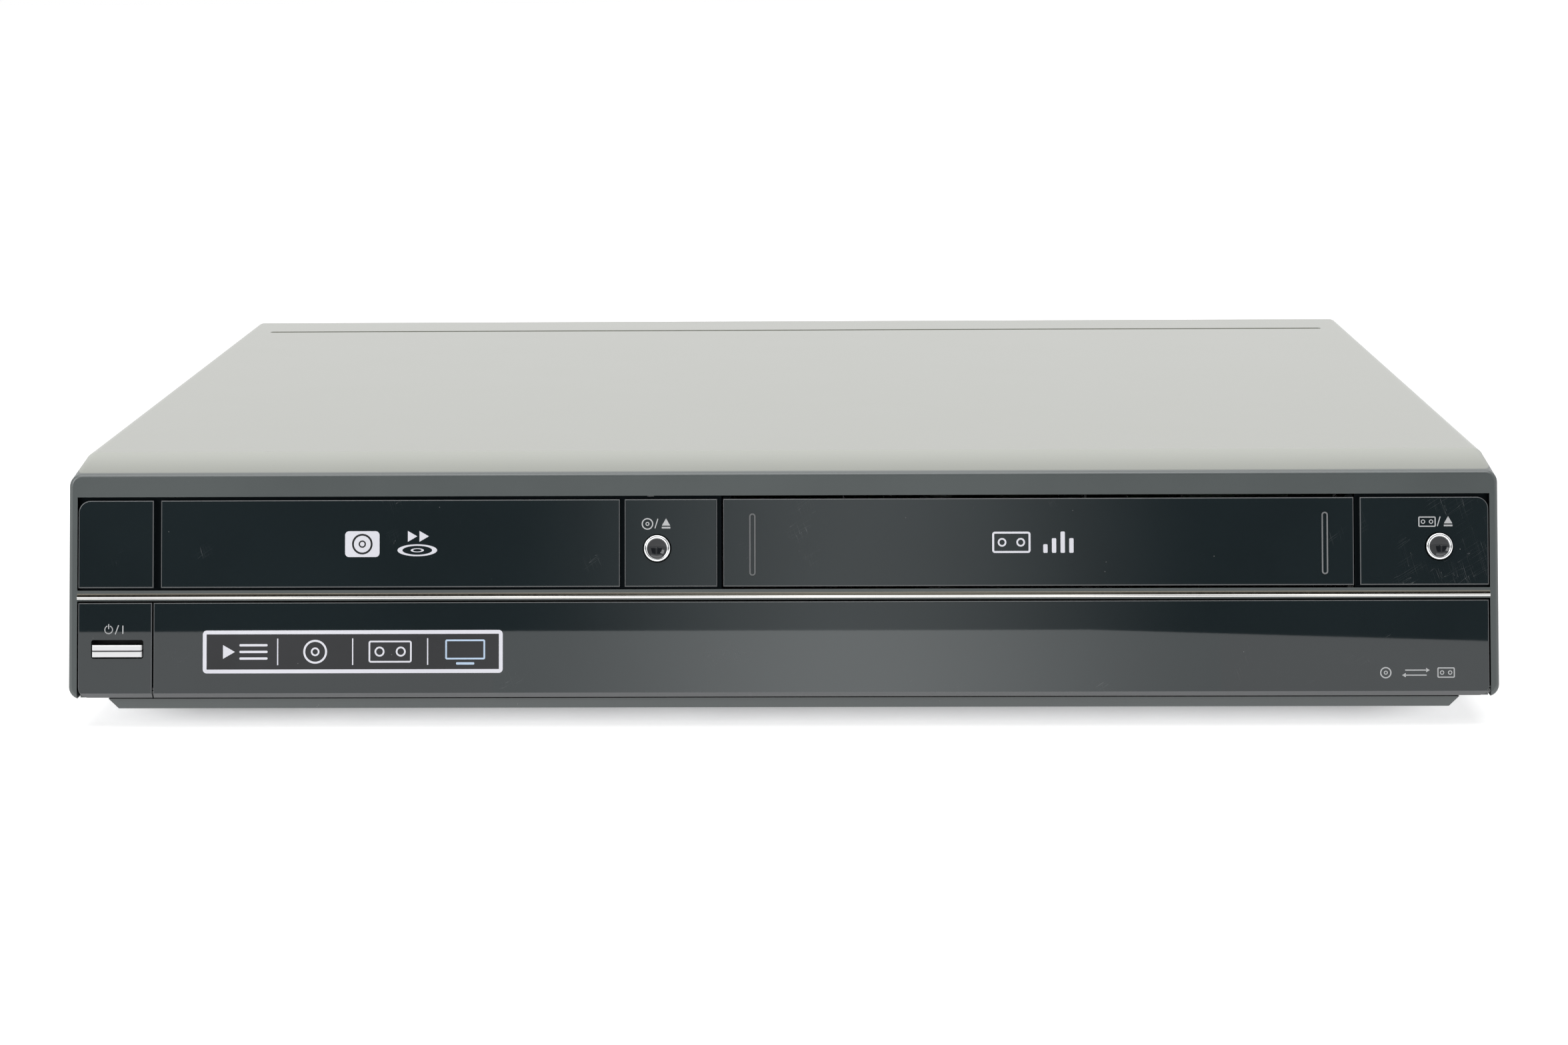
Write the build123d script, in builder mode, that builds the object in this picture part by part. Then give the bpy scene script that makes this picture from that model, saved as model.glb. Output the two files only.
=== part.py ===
"""A slim disc recorder and video cassette recorder in one case, in millimetres.

X runs across the front, Y from the front to the back and Z up from the table.
The origin lies on the table, under the middle of the case.
"""

from build123d import *
import os
from math import cos, pi, radians, sin, tan

os.makedirs("parts", exist_ok=True)

# ---------------------------------------------------------------- driving sizes
body_width = 430.0
body_depth = 354.0
body_height = 78.5
foot_height = 5.7
front_lean = 12.76            # the whole front leans back, in degrees

running_gap = 0.3             # between pieces that move past each other
shaft_fit = 0.1               # radial clearance of a bearing or a hinge bore

# Sheet metal case
cover_gauge = 0.8
pan_gauge = 1.0
rear_gauge = 1.0
fold_radius = 3.5
pan_side_height = 16.0
pan_flange_z = 9.2
pan_floor_half_width = 200.5
pan_step_half_width = 204.0
cover_front_y = -139.0
jack_reach = 8.2              # how far the longest rear socket stands out
rear_lip_height = 9.0
groove_width = 2.6
groove_length = 409.0
groove_depth = 0.35
groove_inset = 26.5           # from the groove to the rear face
side_vent_count = 22
side_vent_pitch = 6.0
side_vent_size = (2.0, 13.0)

# Front, heights above the table
band_top_z = 75.3
band_bottom_z = 68.8
insert_top_z = 67.8
insert_bottom_z = 42.0
rail_top_z = 41.3
strip_top_z = 40.4
strip_bottom_z = 38.6
rail_bottom_z = 38.2
strip_bead = 0.45
strip_fine_bead = 0.18
flap_top_z = 37.7
flap_bottom_z = 9.8
side_wall = 2.6
front_wall = 5.5
insert_depth = 3.0
band_wall = 2.5
top_wall = 1.8

# Front, distances across the face
left_insert_x = (-212.1, -189.3)
tray_front_x = (-187.1, -48.5)
disc_insert_x = (-47.1, -19.2)
door_x = (-17.4, 171.8)
tape_insert_x = (173.6, 212.1)
disc_eject_x = -37.3
tape_eject_x = 197.3
eject_z = 53.3
eject_radius = 4.0
eject_travel = 1.0
ring_width = 1.1
ring_proud = 1.0
dish_depth = 0.35
power_x = (-207.7, -192.7)
power_z = (21.7, 25.3)
power_travel = 1.0
power_proud = 0.8
power_crease = 0.35
power_window_x = (-208.1, -192.3)
power_window_z = (21.3, 26.8)
power_surround_x = (-212.1, -189.7)
power_surround_depth = 4.4
surround_post_z = (14.0, 33.0)
surround_post_radius = 1.5

panel_corner = 3.6
door_thickness = 2.6
door_pivot_z = 71.6
door_pivot_depth = 4.4
door_pin_radius = 1.0
door_pin_length = 1.8
door_arm_width = 2.2
door_eye_radius = 1.4
lug_radius = 2.6
flap_thickness = 2.8
flap_side_gap = 0.4
flap_pivot_inset = 2.0
flap_pin_radius = 1.2
flap_pin_length = 1.8
flap_pin_play = 0.3
flap_pin_boss = 5.0
subpanel_depth = 9.0
subpanel_gauge = 2.0
chin_depth = 3.4
chin_top_z = 8.7
flap_relief = 1.3            # bevel that lets the flap turn above the chin
panel_edge = 0.4             # rounding of the gloss panels' front edges

# Controls behind the flap
key_count = 3
key_pitch = 16.0
key_first_x = 150.0
key_z = 25.0
key_size = (9.0, 5.0)
key_corner = 1.2
key_travel = 0.8
key_proud = 2.4
window_x = (-62.0, 62.0)
window_z = (15.5, 34.0)
jack_first_x = -170.0
jack_pitch = 14.0
jack_radius = 4.4
jack_proud = 4.6
front_socket_z = 22.0
board_depth = 17.0
board_gauge = 1.6
switch_height = 3.2

# Disc loader
loader_x = -117.8
disc_centre_y = -85.0
disc_radius = 60.0
small_disc_radius = 40.0
recess_play = 0.9
tray_width = 128.0
tray_bottom_z = 50.0
tray_thickness = 6.0
tray_rear_y = 5.0
tray_travel = 135.0
disc_recess = 4.0
small_disc_recess = 5.0
tray_slot_width = 44.0
hub_hole_radius = 18.0
tray_ledge = 4.0
tray_hold_down = 3.0
loader_wall = 3.0
loader_floor_z = 40.0
loader_floor = 2.0
loader_wall_bottom_z = 30.0
loader_wall_top_z = 60.0
loader_front_y = -150.0
loader_rear_y = 12.0
loader_leg_length = 18.0
traverse_size = (64.0, 116.0)
traverse_y = -56.0
traverse_gauge = 2.0
traverse_rim = 5.0
spindle_motor_radius = 11.0
spindle_motor_height = 9.0
spindle_boss_radius = 4.0
turntable_radius = 14.0
spindle_radius = 7.4
rod_radius = 1.5
rod_spacing = 40.0
rod_z = 43.0
sled_size = (48.0, 24.0)
sled_y = -59.0
sled_height = 6.0
sled_travel = 34.0
bridge_gauge = 2.0
bridge_width = 34.0
clamper_radius = 15.0
clamper_neck = 11.5

# Tray drive, all on upright shafts
tooth_module = 1.0
fine_module = 0.8
pinion_teeth = 16
wheel_teeth = 32
small_teeth = 10
tooth_share = 0.2             # half a tooth, as a share of the pitch
addendum = 0.8
dedendum = 1.2
pressure_angle = 20.0
rack_line_x = -172.0
drive_y = -136.0
gear_floor_gap = 0.4
wheel_height = 2.6
pinion_height = 4.4
gear_shaft_radius = 1.5
pulley_radius = 6.4
pulley_flange = 0.7
motor_pulley_radius = 2.4
motor_x = -112.0
belt_size = 1.2
loading_motor_radius = 10.0
loading_motor_height = 18.0

# Tape deck
deck_x = 77.2
cassette_size = (187.0, 103.0, 25.0)
cassette_play = 0.5
deck_plate_z = 17.0
deck_gauge = 1.2
deck_half_width = 99.0
deck_front_y = -128.0
deck_rear_y = 62.0
deck_side_top_z = 70.0
deck_side_rear_y = -14.0
deck_flange_height = 5.0
holder_front_y = -126.0
holder_bottom_z = 41.6
holder_gauge = 1.0
holder_drop = 13.0
holder_ledge = 19.0
holder_front_ledge = 26.0
holder_pin_radius = 2.0
holder_pin_pitch = 60.0
reel_spacing = 92.0
reel_to_tape_edge = 61.5
reel_radius = 17.5
reel_shaft_radius = 1.5
drum_y = 24.0
drum_radius = 31.0
drum_tilt = 5.97
drum_split = 20.0
drum_height = 36.0
drum_shaft_radius = 3.0
capstan_radius = 1.5
capstan_offset = (37.0, -27.0)
capstan_top_z = 42.5
flywheel_radius = 23.0
flywheel_z = (9.6, 15.0)
pinch_pivot_offset = (62.0, -4.0)
pinch_arm_length = 28.8
pinch_rest_angle = 183.0
pinch_radius = 7.0
tape_centre_z = 38.0
tape_width = 12.7

# Power supply, boards, fan and rear sockets
board_z = 13.0
power_board_x = (-208.0, -70.0)
main_board_x = (-55.0, 208.0)
rear_boards_y = (76.0, 158.0)
transformer_size = (34.0, 30.0, 28.0)
transformer_place = (-158.0, 112.0)
capacitor_radius = 11.0
capacitor_height = 32.0
capacitor_place = (-120.0, 116.0)
heat_sink_size = (44.0, 4.0, 34.0)
heat_sink_place = (-112.0, 84.0)
heat_sink_fins = 8
heat_sink_fin = (1.4, 12.0)
tuner_size = (52.0, 44.0, 15.0)
tuner_x = 176.0
fan_x = -98.0
fan_z = 42.0
fan_size = 40.0
fan_thickness = 10.0
fan_bore_radius = 18.6
fan_hub_radius = 9.5
fan_tip_radius = 17.6
fan_blades = 7
fan_blade = (0.9, 6.5)
fan_blade_pitch = 38.0
inlet_x = -182.0
inlet_z = 32.0
inlet_size = (24.0, 17.0)
scart_x = (92.0, 34.0)
scart_z = 45.0
scart_size = (47.0, 15.5)
rca_columns = (-14.0, -30.0, -46.0)
rca_rows = (28.0, 46.0)
rca_radius = 4.4
hdmi_x = 132.0
hdmi_z = 30.0
hdmi_size = (15.2, 5.8)
aerial_radius = 5.0
aerial_reach = 7.2
aerial_pitch = 20.0
aerial_z = 30.0

foot_radius = 17.0
foot_rim = 3.0
foot_pad = 1.6
foot_inset = (48.0, 50.0)
screw_radius = 3.4

# ---------------------------------------------------------------- what follows from them
half_width = body_width / 2
lean_tan = tan(radians(front_lean))
lean_cos = cos(radians(front_lean))
lean_sin = sin(radians(front_lean))
face_foot_y = -body_depth / 2 - flap_bottom_z * lean_tan
rear_face_y = body_depth / 2 - jack_reach
cover_inner_x = half_width - cover_gauge
cover_inner_z = body_height - cover_gauge
pan_top_z = foot_height + pan_gauge
pan_flange_top_z = pan_flange_z + pan_gauge
recess_half_width = half_width - side_wall
tray_top_z = tray_bottom_z + tray_thickness
loader_floor_top_z = loader_floor_z + loader_floor
board_top_z = board_z + board_gauge
deck_top_z = deck_plate_z + deck_gauge

# The face plane: local x across, local y up along the leaning face, local z outwards
face = Plane(
    origin=(0, face_foot_y, 0), x_dir=(1, 0, 0), z_dir=(0, -lean_cos, lean_sin)
)


def along(height):
    """Distance up the leaning face at a height above the table."""
    return height / lean_cos


def end_view(x):
    """A plane seen from the side: local x is the depth behind the face, local y runs up the face."""
    return Plane(origin=(x, face_foot_y, 0), x_dir=(0, lean_cos, -lean_sin), z_dir=(1, 0, 0))


def face_y(height, depth=0.0):
    """Y of the point at a height above the table that lies a depth behind the face."""
    return face_foot_y + height * lean_tan + depth / lean_cos


def panel(x_range, z_range):
    """Draws a plain panel of the front in the open sketch."""
    middle = ((x_range[0] + x_range[1]) / 2, along((z_range[0] + z_range[1]) / 2))
    with Locations(middle):
        return Rectangle(x_range[1] - x_range[0], along(z_range[1] - z_range[0]))


def toothed_wheel(teeth, module, tooth_angle):
    """Draws a toothed wheel in the open sketch, with a tooth at tooth_angle degrees."""
    pitch_radius = teeth * module / 2
    root = pitch_radius - dedendum * module
    tip = pitch_radius + addendum * module
    half = tooth_share * pi * module
    slope = tan(radians(pressure_angle)) * module
    Circle(root)
    with PolarLocations(0, teeth, start_angle=tooth_angle):
        Polygon(
            (root - slope, half + slope * dedendum),
            (root - slope, -half - slope * dedendum),
            (tip, -half + slope * addendum),
            (tip, half - slope * addendum),
            align=None,
        )


def front_edges(panel_part):
    """The outer edges of the largest face that looks straight out of the leaning front."""
    looking_out = panel_part.faces().filter_by(lambda f: f.normal_at().dot(face.z_dir) > 0.99)
    return looking_out.sort_by(SortBy.AREA)[-1].outer_wire().edges()


def on_edge(y, z):
    """The end view's own coordinates of a point given by its Y and Z."""
    return ((y - face_foot_y) * lean_cos - z * lean_sin, (y - face_foot_y) * lean_sin + z * lean_cos)


# ---------------------------------------------------------------- case

# The pan is one pressed sheet: a sunk floor, a sloping step, a flange and turned-up sides.
with BuildPart() as bottom_chassis:
    pan_side_top = pan_flange_z + pan_side_height
    pan_front_y = face_y(pan_flange_z, front_wall + 1)
    with BuildSketch(Plane.XZ.offset(-pan_front_y)):
        mitre = pan_gauge * tan(radians(22.5))
        Polygon(
            (-cover_inner_x, pan_side_top),
            (-cover_inner_x, pan_flange_z),
            (-pan_step_half_width, pan_flange_z),
            (-pan_floor_half_width, foot_height),
            (0, foot_height),
            (0, pan_top_z),
            (-pan_floor_half_width + mitre, pan_top_z),
            (-pan_step_half_width + mitre, pan_flange_top_z),
            (-cover_inner_x + pan_gauge, pan_flange_top_z),
            (-cover_inner_x + pan_gauge, pan_side_top),
            align=None,
        )
        mirror(about=Plane.YZ)
    extrude(amount=-(rear_face_y - rear_gauge - pan_front_y))
    # The turned-up sides stop short of the front moulding.
    with BuildSketch(Plane.XY.offset(pan_flange_top_z)):
        with Locations((0, cover_front_y - 20)):
            Rectangle(body_width, 40)
    extrude(amount=pan_side_height, mode=Mode.SUBTRACT)
    with BuildSketch(Plane.XY.offset(foot_height)):
        with Locations((-recess_half_width - 5, cover_front_y - 20), (recess_half_width + 5, cover_front_y - 20)):
            Rectangle(10, 40)
    extrude(amount=pan_side_height, mode=Mode.SUBTRACT)
    # Pillars carry the tape deck and the two boards.
    deck_pillar_x = deck_half_width - 12
    with BuildSketch(Plane.XY.offset(pan_top_z)):
        with Locations((deck_x, (deck_front_y + deck_rear_y) / 2)):
            with GridLocations(2 * deck_pillar_x, deck_rear_y - deck_front_y - 24, 2, 2):
                Circle(5)
    extrude(amount=deck_plate_z - pan_top_z)
    with BuildSketch(Plane.XY.offset(pan_top_z)):
        for board_x in (power_board_x, main_board_x):
            with Locations(((board_x[0] + board_x[1]) / 2, sum(rear_boards_y) / 2)):
                board_span = board_x[1] - board_x[0] - 26
                with GridLocations(board_span, rear_boards_y[1] - rear_boards_y[0] - 10, 2, 2):
                    Circle(3)
    extrude(amount=board_z - pan_top_z)
    # Air enters through slots under the boards.
    with BuildSketch(Plane.XY.offset(foot_height)):
        with Locations((-150, 30), (150, 30)):
            with GridLocations(7, 0, 8, 1):
                SlotOverall(34, 2.6, rotation=90)
    extrude(amount=pan_gauge, mode=Mode.SUBTRACT)
bottom_chassis.part.label = "bottom_chassis"
export_step(bottom_chassis.part, "parts/bottom_chassis.step")

# The cover is a folded sheet with a shallow groove across the back of its top.
with BuildPart() as top_cover:
    with BuildSketch(Plane.XZ.offset(-cover_front_y)) as cover_outside:
        with Locations((0, (body_height + pan_flange_z) / 2)):
            Rectangle(body_width, body_height - pan_flange_z)
        fillet(cover_outside.vertices().group_by(Axis.Y)[-1], fold_radius)
    extrude(amount=-(rear_face_y - cover_front_y))
    with BuildSketch(Plane.XZ.offset(-cover_front_y)) as cover_inside:
        with Locations((0, (cover_inner_z + pan_flange_z) / 2 - 5)):
            Rectangle(2 * cover_inner_x, cover_inner_z - pan_flange_z + 10)
        fillet(cover_inside.vertices().group_by(Axis.Y)[-1], fold_radius - cover_gauge)
    extrude(amount=-(rear_face_y - cover_front_y), mode=Mode.SUBTRACT)
    # The rear lip folds down over the rear panel.
    with BuildSketch(Plane.XZ.offset(-rear_face_y)) as rear_lip:
        with Locations((0, body_height - rear_lip_height / 2)):
            Rectangle(body_width, rear_lip_height)
        fillet(rear_lip.vertices().group_by(Axis.Y)[-1], fold_radius)
    extrude(amount=-cover_gauge)
    with BuildSketch(Plane.XY.offset(body_height)):
        with Locations((0, rear_face_y - groove_inset)):
            SlotOverall(groove_length, groove_width)
    extrude(amount=-groove_depth, mode=Mode.SUBTRACT)
    with BuildSketch(Plane.YZ.offset(-half_width)):
        with Locations((40, 44), (40, 62)):
            with GridLocations(side_vent_pitch, 0, side_vent_count, 1):
                SlotOverall(side_vent_size[1], side_vent_size[0], rotation=90)
    extrude(amount=body_width, mode=Mode.SUBTRACT)
top_cover.part.label = "top_cover"
export_step(top_cover.part, "parts/top_cover.step")

# The rear panel has a cut-out for each socket and a slotted grille for the fan.
with BuildPart() as rear_panel:
    with BuildSketch(Plane.XZ.offset(-(rear_face_y - rear_gauge))):
        with Locations((0, (cover_inner_z + pan_flange_top_z) / 2)):
            Rectangle(2 * cover_inner_x - 2 * fold_radius, cover_inner_z - pan_flange_top_z)
        with Locations((0, (cover_inner_z - fold_radius + pan_flange_top_z) / 2)):
            Rectangle(2 * (cover_inner_x - pan_gauge), cover_inner_z - fold_radius - pan_flange_top_z)
        with Locations((inlet_x, inlet_z)):
            Rectangle(*inlet_size, mode=Mode.SUBTRACT)
        with Locations(*[(x, scart_z) for x in scart_x]):
            Rectangle(*scart_size, mode=Mode.SUBTRACT)
        with Locations(*[(x, z) for x in rca_columns for z in rca_rows]):
            Circle(rca_radius, mode=Mode.SUBTRACT)
        with Locations((hdmi_x, hdmi_z)):
            Rectangle(*hdmi_size, mode=Mode.SUBTRACT)
        with Locations((tuner_x, aerial_z)):
            with GridLocations(aerial_pitch, 0, 2, 1):
                Circle(aerial_radius, mode=Mode.SUBTRACT)
        with Locations((fan_x, fan_z)):
            with PolarLocations(13, 12):
                SlotOverall(9.5, 4.4, mode=Mode.SUBTRACT)
    extrude(amount=-rear_gauge)
rear_panel.part.label = "rear_panel"
export_step(rear_panel.part, "parts/rear_panel.step")

with BuildPart() as feet:
    foot_grid = (body_width - 2 * foot_inset[0], body_depth - 2 * foot_inset[1])
    with BuildSketch(Plane.XY):
        with GridLocations(*foot_grid, 2, 2):
            Circle(foot_radius - foot_rim)
    extrude(amount=foot_pad)
    with BuildSketch(Plane.XY.offset(foot_pad)):
        with GridLocations(*foot_grid, 2, 2):
            Circle(foot_radius)
    extrude(amount=foot_height - foot_pad)
feet.part.label = "feet"
export_step(feet.part, "parts/feet.step")

with BuildPart() as cover_screws:
    screw_y = rear_face_y + cover_gauge
    screw_z = body_height - rear_lip_height / 2
    with BuildSketch(Plane.XZ.offset(-screw_y)):
        with Locations((0, screw_z)):
            with GridLocations(body_width / 2 - 25, 0, 3, 1):
                Circle(screw_radius)
    extrude(amount=-1.8)
    fillet(cover_screws.faces().group_by(Axis.Y)[-1].edges(), 1.0)
    with BuildSketch(Plane.XZ.offset(-(screw_y + 1.8))):
        with Locations((0, screw_z)):
            with GridLocations(body_width / 2 - 25, 0, 3, 1):
                Rectangle(4.0, 0.8)
                Rectangle(0.8, 4.0)
    extrude(amount=0.8, mode=Mode.SUBTRACT)
cover_screws.part.label = "cover_screws"
export_step(cover_screws.part, "parts/cover_screws.step")

# ---------------------------------------------------------------- front moulding

insert_span = (rail_top_z, band_bottom_z)
door_swing_x = (door_x[0] - 0.6, door_x[1] + 0.6)
tray_window_x = (loader_x - tray_width / 2 - 1, loader_x + tray_width / 2 + 1)
tray_window_z = (tray_bottom_z - 5.2, tray_top_z + 2.6)
fascia_back_y = cover_front_y
flap_pivot_z = flap_bottom_z + flap_pivot_inset * lean_cos

with BuildPart() as front_fascia:
    with BuildSketch(Plane.YZ.offset(-half_width)):
        Polygon(
            (fascia_back_y, body_height),
            (face_y(band_top_z), band_top_z),
            (face_y(pan_flange_z), pan_flange_z),
            (fascia_back_y, pan_flange_z),
            align=None,
        )
    extrude(amount=body_width)
    side_edges = front_fascia.edges().filter_by(
        lambda e: abs(abs(e.center().X) - half_width) < 0.01
    )
    corner_edges = side_edges.filter_by(
        lambda e: e.center().Z > band_top_z or e.center().Z < pan_flange_z + 0.1
    )
    fillet(corner_edges, fold_radius)
    brow = front_fascia.edges().filter_by(Axis.X).filter_by(
        lambda e: abs(e.center().Z - band_top_z) < 0.1
    )
    fillet(brow, 1.2)
    # Hollow behind the front wall
    with BuildSketch(end_view(-recess_half_width)):
        Polygon(
            on_edge(fascia_back_y + 1, body_height - top_wall),
            on_edge(fascia_back_y, body_height - top_wall),
            (band_wall, along(band_top_z) - top_wall),
            (band_wall, along(band_bottom_z)),
            (front_wall, along(band_bottom_z)),
            on_edge(face_y(pan_flange_z - 1, front_wall), pan_flange_z - 1),
            on_edge(fascia_back_y + 1, pan_flange_z - 1),
            align=None,
        )
    extrude(amount=2 * recess_half_width, mode=Mode.SUBTRACT)
    # Recess for the upper row of panels, with the two windows behind it
    with BuildSketch(face):
        panel((-recess_half_width, recess_half_width), insert_span)
    extrude(amount=-insert_depth, mode=Mode.SUBTRACT)
    with BuildSketch(face):
        panel(tray_window_x, tray_window_z)
        panel(door_swing_x, insert_span)
        with Locations((disc_eject_x, along(eject_z)), (tape_eject_x, along(eject_z))):
            Circle(eject_radius + running_gap)
    extrude(amount=-front_wall - 0.5, mode=Mode.SUBTRACT)
    # Groove for the bright strip, and the opening that the flap fills
    with BuildSketch(face):
        panel((-recess_half_width, recess_half_width), (strip_bottom_z, strip_top_z))
    extrude(amount=-1.2, mode=Mode.SUBTRACT)
    with BuildSketch(face.offset(0.5)):
        panel((-recess_half_width, recess_half_width), (pan_flange_z - 0.1, rail_bottom_z))
    extrude(amount=-front_wall - 1.0, mode=Mode.SUBTRACT)
    # Chin under the flap, with the step of the pan behind it
    chin_slope = (pan_step_half_width - pan_floor_half_width) / (pan_flange_z - foot_height)
    chin_top_half_width = pan_floor_half_width + (chin_top_z - foot_height) * chin_slope
    with BuildSketch(Plane.XZ.offset(-face_y(pan_flange_z, chin_depth))):
        Polygon(
            (-chin_top_half_width, chin_top_z),
            (-pan_floor_half_width, foot_height),
            (pan_floor_half_width, foot_height),
            (chin_top_half_width, chin_top_z),
            align=None,
        )
    extrude(amount=-(front_wall + 1 - chin_depth) / lean_cos)
    sill_depth = front_wall - 0.5
    with BuildSketch(Plane.YZ.offset(-recess_half_width)):
        Polygon(
            (face_y(pan_flange_z, sill_depth), chin_top_z),
            (face_y(pan_flange_z, front_wall + 1), chin_top_z),
            (face_y(pan_flange_z, front_wall + 1), pan_flange_top_z),
            (face_y(pan_flange_z, sill_depth), pan_flange_top_z),
            align=None,
        )
    extrude(amount=2 * recess_half_width)
    # Lugs that carry the cassette door
    for lug_x in (door_swing_x[0] - door_pin_length, door_swing_x[1]):
        with BuildSketch(end_view(lug_x)):
            with Locations((door_pivot_depth, along(door_pivot_z))):
                Circle(lug_radius)
        extrude(amount=door_pin_length)
    with BuildSketch(end_view(door_swing_x[0] - door_pin_length - 1)):
        with Locations((door_pivot_depth, along(door_pivot_z))):
            Circle(door_pin_radius + shaft_fit)
    extrude(amount=door_swing_x[1] - door_swing_x[0] + 2 * door_pin_length + 2, mode=Mode.SUBTRACT)
    # Blind bore for the right pin of the flap
    with BuildSketch(end_view(recess_half_width)):
        with Locations((flap_pivot_inset, along(flap_pivot_z))):
            Circle(flap_pin_radius + shaft_fit)
    extrude(amount=flap_pin_length, mode=Mode.SUBTRACT)
front_fascia.part.label = "front_fascia"
export_step(front_fascia.part, "parts/front_fascia.step")

insert_z = (insert_bottom_z, insert_top_z)


def foot_bevel():
    """Draws the bevel of the lower row's front edge in the open end view."""
    foot = along(flap_bottom_z)
    return Polygon(
        (-0.1, foot - 0.1), (flap_relief, foot - 0.1), (flap_relief, foot),
        (0, foot + flap_relief), (-0.1, foot + flap_relief),
        align=None,
    )


# Fixed end of the lower row: the power button works in it and the flap's left pin turns in it.
with BuildPart() as power_surround:
    with BuildSketch(face) as surround_outline:
        panel(power_surround_x, (flap_bottom_z, flap_top_z))
        fillet(surround_outline.vertices().group_by(Axis.X)[0].sort_by(Axis.Y)[:1], fold_radius - 0.5)
        panel_window = (sum(power_window_x) / 2, along(sum(power_window_z) / 2))
        with Locations(panel_window):
            RectangleRounded(
                power_window_x[1] - power_window_x[0],
                along(power_window_z[1] - power_window_z[0]),
                0.7,
                mode=Mode.SUBTRACT,
            )
    extrude(amount=-power_surround_depth)
    fillet(front_edges(power_surround.part), panel_edge)
    with BuildSketch(face.offset(-power_surround_depth)):
        with Locations(*[(sum(power_surround_x) / 2, along(z)) for z in surround_post_z]):
            Circle(surround_post_radius)
    extrude(amount=power_surround_depth - subpanel_depth)
    with BuildSketch(end_view(power_surround_x[1] - flap_pin_length)):
        with Locations((flap_pivot_inset, along(flap_pivot_z))):
            Circle(flap_pin_radius + shaft_fit)
    extrude(amount=flap_pin_length, mode=Mode.SUBTRACT)
    with BuildSketch(end_view(-half_width)):
        foot_bevel()
    extrude(amount=body_width, mode=Mode.SUBTRACT)

with BuildPart() as left_insert:
    with BuildSketch(face) as left_outline:
        panel(left_insert_x, insert_z)
        fillet(left_outline.vertices().group_by(Axis.X)[0].sort_by(Axis.Y)[-1:], panel_corner)
    extrude(amount=-insert_depth)
    fillet(front_edges(left_insert.part), panel_edge)
    add(power_surround.part)
left_insert.part.label = "left_insert"
export_step(left_insert.part, "parts/left_insert.step")

with BuildPart() as dvd_button_insert:
    with BuildSketch(face):
        panel(disc_insert_x, insert_z)
        with Locations((disc_eject_x, along(eject_z))):
            Circle(eject_radius + running_gap, mode=Mode.SUBTRACT)
    extrude(amount=-insert_depth)
    fillet(front_edges(dvd_button_insert.part), panel_edge)
dvd_button_insert.part.label = "dvd_button_insert"
export_step(dvd_button_insert.part, "parts/dvd_button_insert.step")

with BuildPart() as vcr_button_insert:
    with BuildSketch(face) as right_outline:
        panel(tape_insert_x, insert_z)
        fillet(right_outline.vertices().group_by(Axis.X)[-1].sort_by(Axis.Y)[-1:], panel_corner)
        with Locations((tape_eject_x, along(eject_z))):
            Circle(eject_radius + running_gap, mode=Mode.SUBTRACT)
    extrude(amount=-insert_depth)
    fillet(front_edges(vcr_button_insert.part), panel_edge)
vcr_button_insert.part.label = "vcr_button_insert"
export_step(vcr_button_insert.part, "parts/vcr_button_insert.step")

# The bright strip is a flat band with a fine bead above and a fuller bead below.
with BuildPart() as chrome_strip:
    with BuildSketch(end_view(-recess_half_width)):
        Polygon(
            (1.2, along(strip_bottom_z)),
            (1.2, along(strip_top_z)),
            (0.1, along(strip_top_z)),
            (0.1, along(strip_bottom_z)),
            align=None,
        )
        with Locations((0.05, along(strip_bottom_z) + strip_bead)):
            Circle(strip_bead)
        with Locations((0.05, along(strip_top_z) - strip_fine_bead)):
            Circle(strip_fine_bead)
    extrude(amount=2 * recess_half_width)
chrome_strip.part.label = "chrome_strip"
export_step(chrome_strip.part, "parts/chrome_strip.step")

# The door hangs from two arms that reach up behind the band, and swings inwards.
with BuildPart() as cassette_door:
    with BuildSketch(face):
        panel(door_x, insert_z)
    extrude(amount=-door_thickness)
    fillet(front_edges(cassette_door.part), panel_edge)
    for arm_x in (door_x[0], door_x[1] - door_arm_width):
        with BuildSketch(end_view(arm_x)):
            with BuildLine():
                Polyline(
                    (door_thickness, along(insert_top_z) - 6),
                    (door_thickness, along(insert_top_z) - 0.8),
                    (door_pivot_depth - 0.6, along(door_pivot_z)),
                    (door_pivot_depth + door_eye_radius, along(door_pivot_z)),
                    (door_thickness + 2.4, along(insert_top_z) - 4),
                    close=True,
                )
            make_face()
            with Locations((door_pivot_depth, along(door_pivot_z))):
                Circle(door_eye_radius)
        extrude(amount=door_arm_width)
    pin_reach = door_pin_length + 0.3
    for pin_x in (door_x[0] - pin_reach, door_x[1]):
        with BuildSketch(end_view(pin_x)):
            with Locations((door_pivot_depth, along(door_pivot_z))):
                Circle(door_pin_radius)
        extrude(amount=pin_reach)
cassette_door.part.label = "cassette_door"
export_step(cassette_door.part, "parts/cassette_door.step")

flap_x = (power_surround_x[1] + flap_side_gap, recess_half_width - flap_side_gap)
flap_pin_reach = flap_side_gap + flap_pin_length - flap_pin_play

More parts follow.
